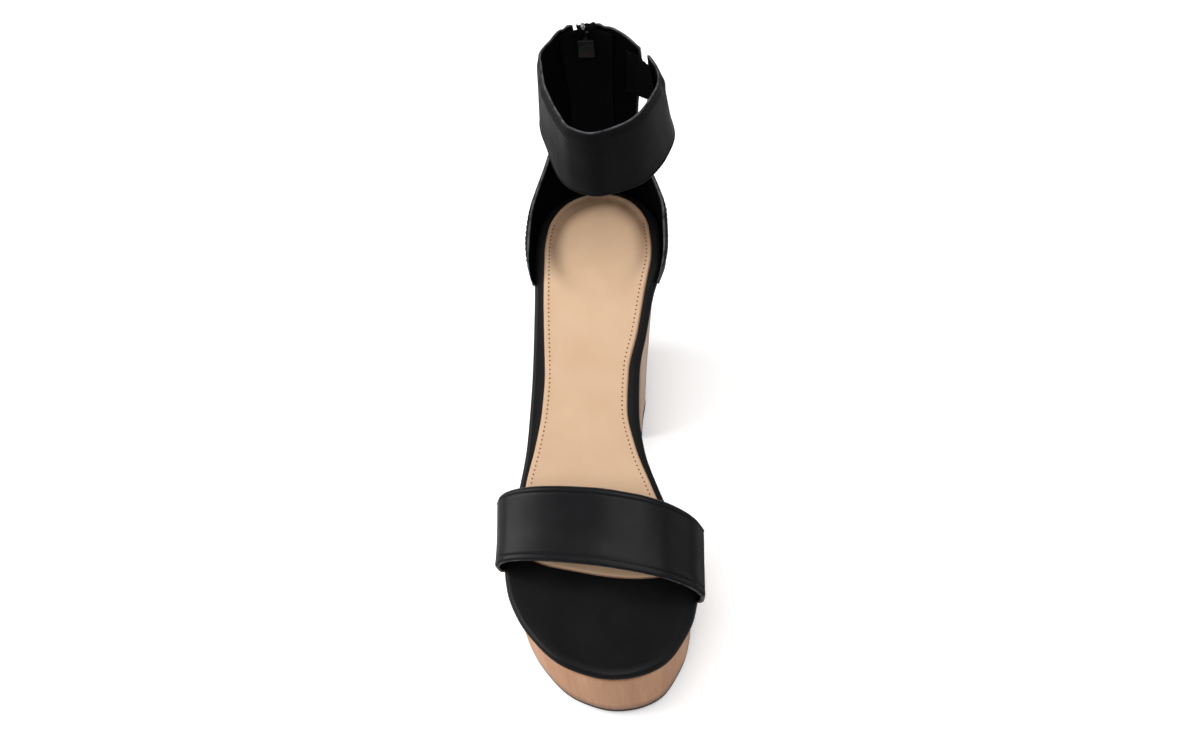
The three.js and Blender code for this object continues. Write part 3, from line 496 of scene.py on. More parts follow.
def upper_plan(turn, height, sweep=0.0):
    up = clamp((height - CUFF_BOTTOM) / CUFF_HEIGHT, 0, 1)
    along, sx, sy, outward = seat_point(turn, sweep)
    cx, cy = cuff_inner(turn + STRIP_FLARE * math.sin(math.pi * turn) * up, height)
    above_seat = height - footbed_top(along)
    start = footbed_top(along) + LEAN_START
    on_cuff = abs(turn) > CORNER_TURN + 1e-6
    blend = 1 if on_cuff else smooth((height - start) / (CUFF_BOTTOM - start))
    bulge = HEEL_BULGE * hump(above_seat / BULGE_HEIGHT) * math.cos(math.pi * (turn - BULGE_TURN))
    aside = smooth(abs(turn) / CORNER_TURN)
    proud = bulge + SEAT_SPREAD * hump(above_seat / SEAT_SPREAD_HEIGHT) * aside
    reach = proud - lasted_inset(height - footbed_under(along))
    return mix(sx + outward[0] * reach, cx, blend), mix(sy + outward[1] * reach, cy, blend)


CUFF_ROUND = math.pi * (CUFF_WIDTH + CUFF_DEPTH) / 2


def turn_at(distance):
    return 2 * distance / CUFF_ROUND


STRIP_TURN = turn_at(STRIP_WIDTH / 2)
SLOT_TURN = turn_at(ZIP_SLOT / 2)
GORE_TURN = STRIP_TURN + turn_at(GORE_WIDTH)

# Creases pressed into the upper by wear: turn, height above the cuff's bottom edge, length along the turn
# and up the wall, depth outwards, and how far it leans
CREASES = [
    (-0.30, 31, 0.035, 9.0, -0.55, 0.3),
    (-0.40, 33, 0.030, 7.0, 0.40, 0.2),
    (-0.62, 20, 0.110, 13.0, -0.50, -0.4),
    (-0.84, 9, 0.090, 9.0, 0.35, 0.3),
    (0.93, 12, 0.100, 12.0, -0.45, 0.2),
    (0.72, 24, 0.090, 12.0, 0.45, -0.3),
    (0.52, 13, 0.060, 11.0, -0.55, 0.2),
    (0.43, 30, 0.030, 5.0, 0.60, 0.4),
    (0.47, 33, 0.025, 4.0, -0.55, -0.3),
    (0.21, 32, 0.030, 5.0, -0.50, 0.2),
    (0.16, 8, 0.050, 12.0, 0.35, 0.3),
    (-0.16, 2, 0.055, 11.0, -0.45, -0.3),
    (-0.20, -18, 0.060, 8.0, 0.40, 0.5),
    (0.22, -20, 0.060, 8.0, -0.40, -0.5),
    (0.12, -28, 0.050, 5.0, 0.40, 0.2),
    (-0.11, -30, 0.050, 5.0, -0.40, 0.1),
    (0.36, -45, 0.070, 7.0, 0.40, 0.3),
    (-0.35, -44, 0.070, 7.0, 0.45, -0.3),
]


def crease(turn, height):
    """How far the worn upper stands out from its last at a place."""
    out = 0.0
    up = height - CUFF_BOTTOM
    for at, level, along, tall, depth, lean in CREASES:
        across = (turn - at + 1) % 2 - 1 - lean * (up - level) / CUFF_ROUND * 2
        if abs(across) < 3 * along and abs(up - level) < 3 * tall:
            out += depth * math.exp(-((across / along) ** 2) - ((up - level) / tall) ** 2)
    near_zip = math.exp(-(((abs(turn) - SLOT_TURN) / turn_at(5)) ** 2))
    pucker = math.sin(up * 1.9 + 4 * abs(turn) / SLOT_TURN) + 0.6 * math.sin(up * 0.83 + 2.0)
    return out + 0.22 * near_zip * pucker * smooth((height - ZIP_BOTTOM) / 8)


def upper_point(turn, height, out=0.0, sweep=0.0):
    """A point of the upper's inner face with its creases, moved outwards by out."""
    reach = out + crease(turn, height)
    return (*set_off(lambda t: upper_plan(t, height, sweep), turn, 0.005, reach), height)


quarter_rise = curve_of(QUARTER)


def rim_height(turn):
    from_gore = max(STRIP_TURN - turn, turn - GORE_TURN, 0)
    return CUFF_TOP - RIM_DIP * (1 - smooth(from_gore / turn_at(RIM_DIP_WIDTH)))


def top_line(turn):
    around = clamp((abs(turn) - STRIP_TURN) / (CORNER_TURN - STRIP_TURN), 0, 1)
    return SEAT_HEIGHT + QUARTER_HEIGHT * quarter_rise(around)


def spread(start, end, count):
    return [mix(start, end, (i + 1) / count) for i in range(count)]


# Materials


def rgb(red, green, blue):
    """An sRGB colour from 0 to 255 as the linear values a shader takes."""
    def linear(value):
        share = value / 255
        return share / 12.92 if value <= 10 else ((share + 0.055) / 1.055) ** 2.4

    return linear(red), linear(green), linear(blue), 1.0


SOCKETS = {"value": "NodeSocketFloat", "vector": "NodeSocketVector"}


class Tree:
    """Adds nodes to a tree: inputs are given by name, as a value or as another node's socket."""

    def __init__(self, tree):
        self.tree = tree

    def feed(self, socket, value):
        if isinstance(value, bpy.types.NodeSocket):
            self.tree.links.new(value, socket)
        else:
            socket.default_value = value

    def add(self, kind, inputs=None, **settings):
        node = self.tree.nodes.new(kind)
        for key, value in settings.items():
            setattr(node, key, value)
        for key, value in (inputs or {}).items():
            self.feed(node.inputs[key], value)
        return node

    def math(self, operation, a, b, clamped=False):
        node = self.add("ShaderNodeMath", {0: a, 1: b}, operation=operation, use_clamp=clamped)
        return node.outputs[0]

    def times(self, a, b, clamped=False):
        return self.math("MULTIPLY", a, b, clamped)

    def ramp(self, value, low, high):
        """0 to 1 while the value goes from low to high."""
        node = self.add("ShaderNodeMapRange", {"Value": value, "From Min": low, "From Max": high})
        return node.outputs[0]

    def between(self, value, low, high):
        """Low to high while the value goes from 0 to 1."""
        node = self.add("ShaderNodeMapRange", {"Value": value, "To Min": low, "To Max": high})
        return node.outputs[0]

    def blend(self, share, a, b):
        return self.add("ShaderNodeMix", {0: share, 6: a, 7: b}, data_type="RGBA").outputs[2]

    def tint(self, base, mask, strength, colour):
        """The base colour with another laid over it where the mask is bright."""
        return self.blend(self.times(mask, strength), base, rgb(*colour))

    def noise(self, vector, scale, detail=3.0, rough=0.5):
        node = self.add("ShaderNodeTexNoise", {"Vector": vector, "Scale": scale, "Detail": detail,
                                               "Roughness": rough})
        return node.outputs["Fac"]

    def stretched(self, vector, x, y, z):
        return self.add("ShaderNodeMapping", {"Vector": vector, "Scale": (x, y, z)}).outputs[0]


def make_group(name, inputs, outputs, fill):
    group = bpy.data.node_groups.new(name, "ShaderNodeTree")
    for label, kind, default in inputs:
        socket = group.interface.new_socket(label, in_out="INPUT", socket_type=SOCKETS[kind])
        if default is not None:
            socket.default_value = default
    for label, kind in outputs:
        group.interface.new_socket(label, in_out="OUTPUT", socket_type=SOCKETS[kind])
    tree = Tree(group)
    start = group.nodes.new("NodeGroupInput")
    end = group.nodes.new("NodeGroupOutput")
    for label, value in fill(tree, start.outputs).items():
        group.links.new(value, end.inputs[label])
    return group


def grain_nodes(t, given):
    where, size = given["Position"], given["Grain"]
    cells = t.add("ShaderNodeTexVoronoi", {"Vector": where, "Scale": size, "Randomness": 1.0},
                  feature="SMOOTH_F1").outputs["Distance"]
    fine = t.noise(where, t.times(size, 2.3), 2.0)
    broad = t.noise(where, t.times(size, 0.035), 2.0)
    height = t.math("ADD", t.times(cells, 0.6), t.times(fine, 0.5))
    height = t.times(height, t.ramp(broad, 0.2, 0.9))
    return {"Height": height, "Mottle": t.ramp(broad, 0.3, 0.7), "Pores": t.ramp(cells, 0.1, 0.6)}


def wear_and_highlight_nodes(t, given):
    # On the leather this is partly rubbed edge wear and partly a painted highlight where the rim crests catch
    # the light; on the zip metal it is wear
    patchy = t.noise(given["Position"], 260.0, 4.0, 0.6)
    rub = t.times(given["Edge"], t.ramp(patchy, 0.25, 0.75), True)
    line = t.ramp(given["Edge"], 0.35, 0.95)
    return {"Rubbed": t.times(rub, line, True)}


def dust_nodes(t, given):
    cloud = t.noise(given["Position"], 38.0, 4.0, 0.55)
    specks = t.noise(given["Position"], 2400.0, 1.0)
    return {"Cloud": t.ramp(cloud, 0.35, 0.7), "Specks": t.ramp(specks, 0.68, 0.8)}


def weave_nodes(t, given):
    wave = {"Vector": given["Position"], "Scale": given["Threads"], "Distortion": 0.6}
    warp = t.add("ShaderNodeTexWave", wave, bands_direction="DIAGONAL").outputs["Fac"]
    weft = t.add("ShaderNodeTexWave", wave, bands_direction="Z").outputs["Fac"]
    return {"Height": t.times(warp, weft), "Threads": t.math("MAXIMUM", warp, weft)}


def timber_nodes(t, given):
    tall = t.stretched(given["Position"], 1.0, 1.0, 0.045)
    boards = t.noise(tall, 75.0, 1.5, 0.4)
    streaks = t.noise(tall, 420.0, 3.0, 0.6)
    pores = t.noise(t.stretched(given["Position"], 1.0, 1.0, 0.02), 1500.0, 2.0, 0.6)
    return {"Boards": t.ramp(boards, 0.32, 0.68), "Streaks": t.ramp(streaks, 0.35, 0.7),
            "Pores": t.ramp(pores, 0.58, 0.75)}


POSITION = ("Position", "vector", None)
leather_grain = make_group("leather_grain", [POSITION, ("Grain", "value", 1400.0)],
                           [("Height", "value"), ("Mottle", "value"), ("Pores", "value")], grain_nodes)
edge_wear_and_highlight = make_group("edge_wear_and_highlight", [POSITION, ("Edge", "value", 0.0)], [("Rubbed", "value")], wear_and_highlight_nodes)
dust = make_group("dust", [POSITION], [("Cloud", "value"), ("Specks", "value")], dust_nodes)
weave = make_group("weave", [POSITION, ("Threads", "value", 700.0)],
                   [("Height", "value"), ("Threads", "value")], weave_nodes)
timber = make_group("timber_wrap", [POSITION],
                    [("Boards", "value"), ("Streaks", "value"), ("Pores", "value")], timber_nodes)


class Finish:
    """A material with a Principled shader and the object's own position to hang patterns on."""

    def __init__(self, name, roughness=0.5, metallic=0.0, specular=0.5, coat=0.0, sheen=0.0):
        self.material = bpy.data.materials.new(name)
        self.material.use_nodes = True
        self.tree = Tree(self.material.node_tree)
        self.shader = self.material.node_tree.nodes["Principled BSDF"]
        self.set("Roughness", roughness)
        self.set("Metallic", metallic)
        self.set("Specular IOR Level", specular)
        self.set("Coat Weight", coat)
        self.set("Coat Roughness", 0.35)
        self.set("Sheen Weight", sheen)
        self.position = self.tree.add("ShaderNodeTexCoord").outputs["Object"]

    def set(self, label, value):
        self.tree.feed(self.shader.inputs[label], value)

    def group(self, group, **values):
        inputs = {"Position": self.position, **values}
        node = self.tree.add("ShaderNodeGroup", node_tree=group)
        for key, value in inputs.items():
            self.tree.feed(node.inputs[key], value)
        return node.outputs

    def mark(self, name):
        return self.tree.add("ShaderNodeAttribute", attribute_name=name).outputs["Fac"]

    def colour(self, value):
        self.set("Base Color", value)

    def roughness(self, value):
        self.set("Roughness", value)

    def bump(self, height, strength, depth):
        node = self.tree.add("ShaderNodeBump", {"Height": height, "Strength": strength, "Distance": depth})
        self.set("Normal", node.outputs[0])


def black_leather(name, grain=1500.0, shine=0.5, specular=0.06, tone=(9, 9, 11), worn_and_highlight_tone=(125, 125, 130)):
    f = Finish(name, specular=specular)
    t = f.tree
    skin = f.group(leather_grain, Grain=grain)
    wear_and_highlight = f.group(edge_wear_and_highlight, Edge=f.mark("edge"))
    clouds = f.group(dust)
    base = t.blend(skin["Mottle"], rgb(*tone), rgb(*(v + 6 for v in tone)))
    base = t.tint(base, clouds["Specks"], 0.12, (95, 93, 90))
    # Grey along the rim crests: partly rubbed wear, partly painted highlight
    f.colour(t.tint(base, wear_and_highlight["Rubbed"], 0.85, worn_and_highlight_tone))
    rough = t.between(clouds["Cloud"], shine - 0.05, shine + 0.07)
    f.roughness(t.math("SUBTRACT", rough, t.times(wear_and_highlight["Rubbed"], 0.08)))
    f.bump(skin["Height"], 0.55, 0.00006)
    return f.material


def lining():
    f = Finish("black_lining_shade_darkened", specular=0.02)
    t = f.tree
    cloth = f.group(weave, Threads=900.0)
    clouds = f.group(dust)
    # Darker than the cloth's own black: painted shade of the shaft's inside on top of the lining's colour
    base = t.blend(clouds["Cloud"], rgb(2, 2, 3), rgb(5, 5, 6))
    f.colour(t.tint(base, clouds["Specks"], 0.06, (50, 50, 50)))
    f.roughness(t.between(cloth["Threads"], 0.62, 0.8))
    f.bump(cloth["Height"], 0.4, 0.00008)
    return f.material


def tan_sock():
    f = Finish("tan_sock", specular=0.4, sheen=0.1)
    t = f.tree
    skin = f.group(leather_grain, Grain=1900.0)
    clouds = f.group(dust)
    base = t.blend(skin["Mottle"], rgb(202, 168, 135), rgb(207, 175, 142))
    base = t.tint(base, clouds["Cloud"], 0.4, (198, 160, 130))
    # Dark brown over the heel end: partly a worn heel mark, partly painted shadow of the cuff
    base = t.tint(base, f.mark("heel_mark_and_painted_shadow"), t.between(clouds["Cloud"], 0.75, 1.0), (98, 69, 46))
    f.colour(t.tint(base, f.mark("cut"), 0.8, (150, 108, 84)))
    f.roughness(t.between(skin["Pores"], 0.5, 0.62))
    f.bump(skin["Height"], 0.4, 0.00005)
    return f.material


def timber_wrap(name, painted_brightness=0.0):
    # The share given blends every colour towards a paler one: painted brightness, standing in for the light
    # on the block heel's side
    def tone(plain, paler):
        return [int(mix(v, w, painted_brightness)) for v, w in zip(plain, paler)]

    f = Finish(name, specular=0.45, coat=0.08)
    t = f.tree
    wood = f.group(timber)
    clouds = f.group(dust)
    darker = tone((184, 130, 91), (208, 188, 178))
    lighter = tone((203, 153, 113), (220, 204, 196))
    base = t.blend(wood["Boards"], rgb(*darker), rgb(*lighter))
    base = t.tint(base, wood["Streaks"], 0.35, tone((168, 117, 84), (200, 176, 164)))
    base = t.tint(base, clouds["Cloud"], 0.25, tone((216, 162, 122), (222, 200, 188)))
    base = t.tint(base, wood["Pores"], 0.3, (140, 100, 76))
    f.colour(t.tint(base, f.mark("foot"), 0.85, (88, 62, 48)))
    f.roughness(t.between(wood["Streaks"], 0.44, 0.56))
    f.bump(t.math("ADD", wood["Pores"], wood["Streaks"]), 0.25, 0.00006)
    return f.material


def sole_rubber():
    f = Finish("sole_rubber", specular=0.35)
    t = f.tree
    skin = f.group(leather_grain, Grain=700.0)
    clouds = f.group(dust)
    base = t.blend(clouds["Cloud"], rgb(48, 38, 33), rgb(62, 50, 43))
    f.colour(t.tint(base, clouds["Specks"], 0.3, (110, 98, 88)))
    f.roughness(t.between(skin["Pores"], 0.68, 0.85))
    f.bump(skin["Height"], 0.5, 0.00015)
    return f.material


def textile(name, threads, tone):
    f = Finish(name, specular=0.03)
    t = f.tree
    cloth = f.group(weave, Threads=threads)
    clouds = f.group(dust)
    base = t.blend(cloth["Threads"], rgb(*tone), rgb(*(v + 5 for v in tone)))
    f.colour(t.tint(base, clouds["Specks"], 0.15, (70, 70, 70)))
    f.roughness(t.between(cloth["Threads"], 0.9, 0.72))
    f.bump(cloth["Height"], 0.6, 0.00012)
    return f.material


def thread(name, tone, roughness=0.55):
    f = Finish(name, roughness=roughness, specular=0.15)
    t = f.tree
    twist = t.add("ShaderNodeTexWave", {"Vector": f.position, "Scale": 1600.0}, bands_direction="DIAGONAL")
    f.colour(t.blend(twist.outputs["Fac"], rgb(*tone), rgb(*(v + 14 for v in tone))))
    f.bump(twist.outputs["Fac"], 0.5, 0.00005)
    return f.material


def zip_metal(name, tone, worn_and_highlight_tone, metallic):
    f = Finish(name, metallic=metallic, specular=0.12)
    t = f.tree
    skin = f.group(leather_grain, Grain=2500.0)
    wear_and_highlight = f.group(edge_wear_and_highlight, Edge=f.mark("edge"))
    clouds = f.group(dust)
    base = t.blend(clouds["Cloud"], rgb(*tone), rgb(*(v + 18 for v in tone)))
    f.colour(t.blend(wear_and_highlight["Rubbed"], base, rgb(*worn_and_highlight_tone)))
    f.roughness(t.between(clouds["Cloud"], 0.24, 0.4))
    f.bump(skin["Height"], 0.15, 0.00003)
    return f.material


LEATHER = black_leather("black_leather")
BAND_LEATHER = black_leather("black_leather_band", shine=0.36, specular=0.12, tone=(12, 12, 14))
LEATHER_SMOOTH = black_leather("black_leather_footbed", grain=1300.0, shine=0.4, specular=0.1,
                               tone=(13, 13, 14))
LINING = lining()
SOCK_TAN = tan_sock()
PLATFORM_WOOD = timber_wrap("platform_timber")
# The block heel's wood is a paler copy of the platform's: painted light on the heel's side
HEEL_WOOD = timber_wrap("heel_timber_painted_bright", painted_brightness=0.55)
RUBBER = sole_rubber()
# The gore and tape cloths are toned below their own black: painted shade of the shaft's inside
GORE_CLOTH = textile("gore_elastic", 1100.0, (5, 5, 6))
TAPE_CLOTH = textile("zip_tape", 900.0, (4, 4, 5))
BLACK_THREAD = thread("black_thread", (11, 11, 12), 0.7)
# Sock pinholes are dark brown dots laid on the surface, not cut: their dark tone is painted shade in each
# hole
HOLE_SHADE = thread("hole_painted_shade", (98, 48, 32), 0.8)
ZIP_METAL = zip_metal("black_zip_metal", (13, 13, 15), (60, 60, 64), 0.15)
STOP_STEEL = zip_metal("stop_steel", (135, 135, 138), (200, 200, 204), 0.6)


# The camera, at the photo's angle to the shoe

EYE = Vector(place(43.9, -481.0, 619.6))
PHOTO_RIGHT = Vector((0.99975, -0.0222, 0.0))
PHOTO_FORWARD = Vector((0.0132, 0.5952, -0.8035))
FOCAL_PIXELS = 1524.0
PHOTO_CENTRE = (600.0, 369.0)
SHOE_PIXEL = (480.0, 377.0)
PHOTO_LENS = 45.7
# The lens is a little wider than the photo's, which leaves room round the shoe
LENS_SHARE = 0.955


def look_from(position, target, right_hint, lens):
    data = bpy.data.cameras.new("camera")
    data.lens = lens
    data.sensor_width = 36.0
    data.clip_start = 0.01
    camera = put_in_scene("camera", data)
    forward = (target - position).normalized()
    right = (right_hint - forward * right_hint.dot(forward)).normalized()
    up = right.cross(forward)
    turn = Matrix((right, up, -forward)).transposed().to_4x4()
    camera.matrix_world = Matrix.Translation(position) @ turn
    bpy.context.scene.camera = camera


aside, below = ((shoe - centre) / FOCAL_PIXELS for shoe, centre in zip(SHOE_PIXEL, PHOTO_CENTRE))
aim = PHOTO_FORWARD + PHOTO_RIGHT * aside - PHOTO_RIGHT.cross(PHOTO_FORWARD) * below
look_from(EYE, EYE + aim, PHOTO_RIGHT, PHOTO_LENS * LENS_SHARE)


# Footbed, sock and sole


def footbed():
    lifts, insets = (curve_through(list(range(len(EDGE))), [row[c] for row in EDGE]) for c in (0, 1))
    steps = [k / 4 for k in range(4 * (len(EDGE) - 1) + 1)]
    layers = [(lifts(k), insets(k) * FOOTBED_THICKNESS, 0) for k in steps]
    chain = outline_chain(footbed_edge, 130)
    piece = plate("footbed_wrap", chain, layers, footbed_under, footbed_top, [LEATHER_SMOOTH],
                  marks={"edge": lambda x, y, z: 0.0})
    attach(piece, "shoe")
    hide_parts("footbed")


def sock_margin(x, y):
    """Distance from the sock pad's side edge."""
    share = clamp((-y / LENGTH - SOCK_BACK) / (SOCK_FRONT - SOCK_BACK), 0, 1)
    return min(x - sock_edge.lateral(share), sock_edge.medial(share) - x)


def sock_chain():
    return outline_chain(sock_edge, 150, lambda share: mix(SOCK_BACK, SOCK_FRONT, share))


# The hollow that a heel pressed into the sock, and the dark ring round it, which is partly a worn heel mark
# and partly
# painted shadow of the cuff: half width, half length and how far the middle is from the shoe's back
DENT_WIDE, DENT_LONG, DENT_MIDDLE = 20, 24, 33
DENT_DEPTH = 0.75
RING_WIDE, RING_LONG, RING_MIDDLE = 21.5, 26, 36


def sock():
    low = lambda along: footbed_top(along) + GAP
    high = lambda along: low(along) + SOCK_THICKNESS
    layers = [(0, 0, 0), (0.3, 0, 0), (0.55, 0.02, 0), (0.75, 0.14, 0), (0.9, 0.4, 0), (0.98, 0.75, 0),
              (1, 1.2, 0), (1, 2.0, 0)]

    def heel_dent(x, y):
        bowl = math.exp(-((x / DENT_WIDE) ** 2 + ((-y - DENT_MIDDLE) / DENT_LONG) ** 2))
        return -DENT_DEPTH * bowl * smooth(sock_margin(x, y) / 6)

    # Dark brown ring and zone round the sock's heel end, stronger on the outer side: partly a worn heel mark,
    # partly painted shadow of the cuff
    def heel_mark_and_painted_shadow(x, y, z):
        back = -y
        far = math.hypot(x / RING_WIDE, (back - RING_MIDDLE) / RING_LONG)
        one_side = mix(1, 0.6, smooth((x + 8) / 16))
        ring = one_side * math.exp(-(((far - 0.95) / 0.16) ** 2)) * smooth((64 - back) / 34)
        rim = smooth((far - 0.86) / 0.2) * smooth((48 - back) / 26)
        return clamp(0.9 * ring + 0.6 * rim, 0, 1)

    def cut(x, y, z):
        return smooth((0.7 - sock_margin(x, y)) / 0.6)

    piece = plate("sock_pad_tan", sock_chain(), layers, low, high, [SOCK_TAN], columns=60, shape=heel_dent,
                  marks={"heel_mark_and_painted_shadow": heel_mark_and_painted_shadow, "cut": cut})
    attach(piece, "shoe")
    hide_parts("sock_pad")


def platform_chain(steps):
    shares = [mix(PLATFORM_REAR, 1, along_of(mix(0.12, 1, i / steps))) for i in range(steps + 1)]
    outer = [footbed_edge.lateral(s) * PLATFORM_WIDTH for s in shares]
    inner = [footbed_edge.medial(s) * PLATFORM_WIDTH for s in shares]
    return Chain([-s * LENGTH for s in shares], outer, inner)


def platform():
    low = lambda along: sole_line(along) + OUTSOLE_THICKNESS + GAP
    high = lambda along: footbed_under(along) - GAP
    base = PLATFORM_INSET + PLATFORM_UNDERCUT
    layers = [(0, base + 1.2, 0), (0, base + 0.35, 0.15), (0, base + 0.05, 0.6)]
    layers += [(s, PLATFORM_INSET + PLATFORM_UNDERCUT * (1 - s) ** 1.1, 0.8 * (1 - s))
               for s in spread(0.06, 0.96, 9)]
    layers += [(1, PLATFORM_INSET + 0.1, -0.4), (1, PLATFORM_INSET + 0.4, -0.1), (1, PLATFORM_INSET + 1.2, 0)]
    foot = lambda x, y, z: smooth((1.5 - (z - low(-y / LENGTH))) / 1.5)
    piece = plate("platform_wrap", platform_chain(120), layers, low, high, [PLATFORM_WOOD], columns=12,
                  marks={"foot": foot})
    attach(piece, "shoe")
    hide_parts("platform")


def outsole():
    inset = PLATFORM_INSET + PLATFORM_UNDERCUT + OUTSOLE_INSET
    layers = [(0, inset + 1.3, 0), (0, inset + 0.6, 0), (0.12, inset + 0.2, 0), (0.35, inset, 0),
              (0.8, inset, 0), (1, inset + 0.2, 0)]
    piece = plate("outsole_rubber", platform_chain(120), layers, sole_line,
                  lambda along: sole_line(along) + OUTSOLE_THICKNESS, [RUBBER], columns=12)
    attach(piece, "shoe")
    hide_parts("outsole")


heel_width, heel_back, heel_breast, heel_square = (curve_of(HEEL, c) for c in (1, 2, 3, 4))


def heel_chain(height, steps=46, round_over=2.2):
    """The heel's plan at a height. Its breast corners are rounded over a little."""
    reach = HEEL_LENGTH / LENGTH
    back, breast, width = heel_back(height) * reach, heel_breast(height) * reach, heel_width(height)
    square = heel_square(height) * SEAT_WIDTH
    outer, inner = [], []
    shares = [(1 - math.cos(math.pi * i / steps)) / 2 for i in range(steps + 1)]
    for share in shares:
        from_breast = (1 - share) * (breast - back) * LENGTH
        corner = 0.0
        if from_breast < round_over:
            corner = round_over - math.sqrt(max(round_over**2 - (round_over - from_breast) ** 2, 0))
        outer.append(footbed_edge.lateral(share * reach) * width - square * share + corner)
        inner.append(footbed_edge.medial(share * reach) * width + square * share - corner)
    return Chain([-mix(back, breast, s) * LENGTH for s in shares], outer, inner)


def heel_block():
    foot = TOP_PIECE + GAP
    seat = lambda along: footbed_under(max(along, 0)) - GAP
    points = []
    levels = [(0, 0.9, 0), (0, 0.25, 0.15), (0, 0.0, 0.6)]
    levels += [(h, 0.0, 0.6 * (1 - h)) for h in spread(0, 0.985, 24)]
    levels += [(1, 0.15, -0.35), (1, 0.5, -0.05), (1, 1.2, 0)]
    for height, inset, lift in levels:
        points += ring_of(heel_chain(height), HEEL_INSET + inset,
                          lambda y: mix(foot, seat(-y / LENGTH), height) + lift)
    ring = len(points) // len(levels)
    faces = faces_between(len(levels), ring)
    top = (len(levels) - 1) * ring
    for i in range(ring // 2 - 1):
        faces.append((top + i, top + i + 1, top + ring - 2 - i, top + ring - 1 - i))
        faces.append((ring - 1 - i, ring - 2 - i, i + 1, i))
    marks = {"foot": [smooth((TOP_PIECE + 1.6 - p[2]) / 1.5) for p in points]}
    piece = make_piece("block_heel_wrap", points, faces, [HEEL_WOOD], marks=marks)
    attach(piece, "shoe")
    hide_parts("block_heel")


def heel_top_piece():
    layers = [(0, HEEL_INSET + 0.7, 0), (0.06, HEEL_INSET + 0.3, 0), (0.2, HEEL_INSET + 0.1, 0),
              (0.92, HEEL_INSET + 0.1, 0), (1, HEEL_INSET + 0.3, 0)]
    piece = plate("heel_top_piece_rubber", heel_chain(0), layers, lambda a: 0, lambda a: TOP_PIECE, [RUBBER],
                  columns=12)
    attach(piece, "shoe")
    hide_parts("heel_top_piece")


# Toe band

band_rise = curve_of(BAND)
BAND_STITCH = 2.4


def along_stops(stops, share):
    """A place on the smooth curve through a few stops, at a share of the way."""
    spot = clamp(share, 0, 1) * (len(stops) - 1)
    i = min(int(spot), len(stops) - 2)
    before, a, b, after = stops[max(i - 1, 0)], stops[i], stops[i + 1], stops[min(i + 2, len(stops) - 1)]
    s = spot - i
    return (
        0.5 * (2 * a[k] + (b[k] - before[k]) * s + (2 * before[k] - 5 * a[k] + 4 * b[k] - after[k]) * s**2
               + (3 * a[k] - before[k] - 3 * b[k] + after[k]) * s**3) for k in (0, 1)
    )


def band_point(place_on, across):
    """A point of the toe band's inner face.

    place_on runs from -1 to 1 over the arch, and past it down each side.
    """
    half = BAND_WIDTH / 2 - BAND_WALL
    centre = BAND_CENTRE * LENGTH - BAND_LENGTH * across
    middle_top = footbed_top(BAND_CENTRE - BAND_LENGTH * across / LENGTH)
    arch = mix(BAND_FRONT_ARCH, BAND_BACK_ARCH, across)
    sign = -1 if place_on < 0 else 1
    down = abs(place_on) - 1
    if down > 0:
        side_x = BAND_SHIFT + sign * half
        y = -(centre + BAND_SKEW * side_x) + BAND_END_SWEEP * (1 - across) * min(down, 1)
        along = -y / LENGTH
        edge = footbed_edge.lateral(along) if sign < 0 else footbed_edge.medial(along)
        stops = [
            (side_x, middle_top + arch * band_rise(sign)),
            (mix(edge + sign * GAP, side_x, 0.55), footbed_top(along) + LASTING_RISE),
        ] + [(edge - sign * inset * FOOTBED_THICKNESS, footbed_under(along) + lift * FOOTBED_THICKNESS)
             for lift, inset in reversed(BAND_LASTED)]
        x, z = along_stops(stops, down)
        return x, y, z
    x = BAND_SHIFT + place_on * half
    return x, -(centre + BAND_SKEW * x), middle_top + arch * band_rise(place_on)


def band_places(steps):
    """Places over the band, closer together down its sides."""
    over = [-math.cos(math.pi * i / steps) for i in range(steps + 1)]
    sides = spread(0, 1, 18)
    return [-1 - s for s in reversed(sides)] + over + [1 + s for s in sides]


def bump_at(distance, middle, width):
    return math.exp(-(((distance - middle) / width) ** 2))


TOPLINE_SKIVE, TOPLINE_WIDTH = 0.55, 4.2
# Folds under the outer side's top edge: distance below it, width and depth
TOPLINE_FOLDS = [(2.2, 0.35, 0.3), (3.7, 0.4, 0.32), (5.4, 0.5, 0.26)]


def cuff_relief(turn, height):
    """Turned edges, stitch grooves, seams and topline folds on the upper's outer face."""
    around = abs(turn)
    out = 0.0
    below_top = CUFF_TOP - height
    if height > CUFF_BOTTOM - 0.01:
        out -= TOPLINE_SKIVE * smooth(1 - below_top / TOPLINE_WIDTH)
        folds = smooth((-turn - 0.27) / 0.1) * smooth((turn + 0.86) / 0.14)
        out += folds * sum(depth * bump_at(below_top, at, width) for at, width, depth in TOPLINE_FOLDS)
        if turn < 0:
            side_seam = (around - STRIP_TURN) / turn_at(1)
            out -= 0.28 * bump_at(side_seam, 0.4, 0.55)
            out += 0.12 * smooth(1 - abs(side_seam - 2) / 2)
    if height > CUFF_BOTTOM - 0.01 and around > STRIP_TURN:
        above = height - CUFF_BOTTOM
        out += 0.2 * bump_at(above, 0.6, 0.35) - 0.2 * bump_at(above, 1.2, 0.25)
    beside_zip = (around - SLOT_TURN) / turn_at(1)
    if beside_zip > 0:
        over_zip = smooth((height - ZIP_BOTTOM + 1) / 2)
        out += over_zip * (0.14 * bump_at(beside_zip, 1.0, 0.7) - 0.18 * bump_at(beside_zip, 2.2, 0.45))
    return out


SKIVED_DEPTH, SKIVED_WIDTH = 1.3, 9


def skiving(turn):
    """How much the quarter's wall is thinned towards its front corners."""
    taper = turn_at(SKIVED_WIDTH)
    return SKIVED_DEPTH * smooth((abs(turn) - CORNER_TURN + taper) / taper)


# Rises of the top edge beside the zip: distance from the slot, width and height
ZIP_LUMPS = [(1.2, 0.9, 0.55), (3.4, 1.2, -0.45), (6.5, 1.8, 0.35)]
RIM_FADE = 9


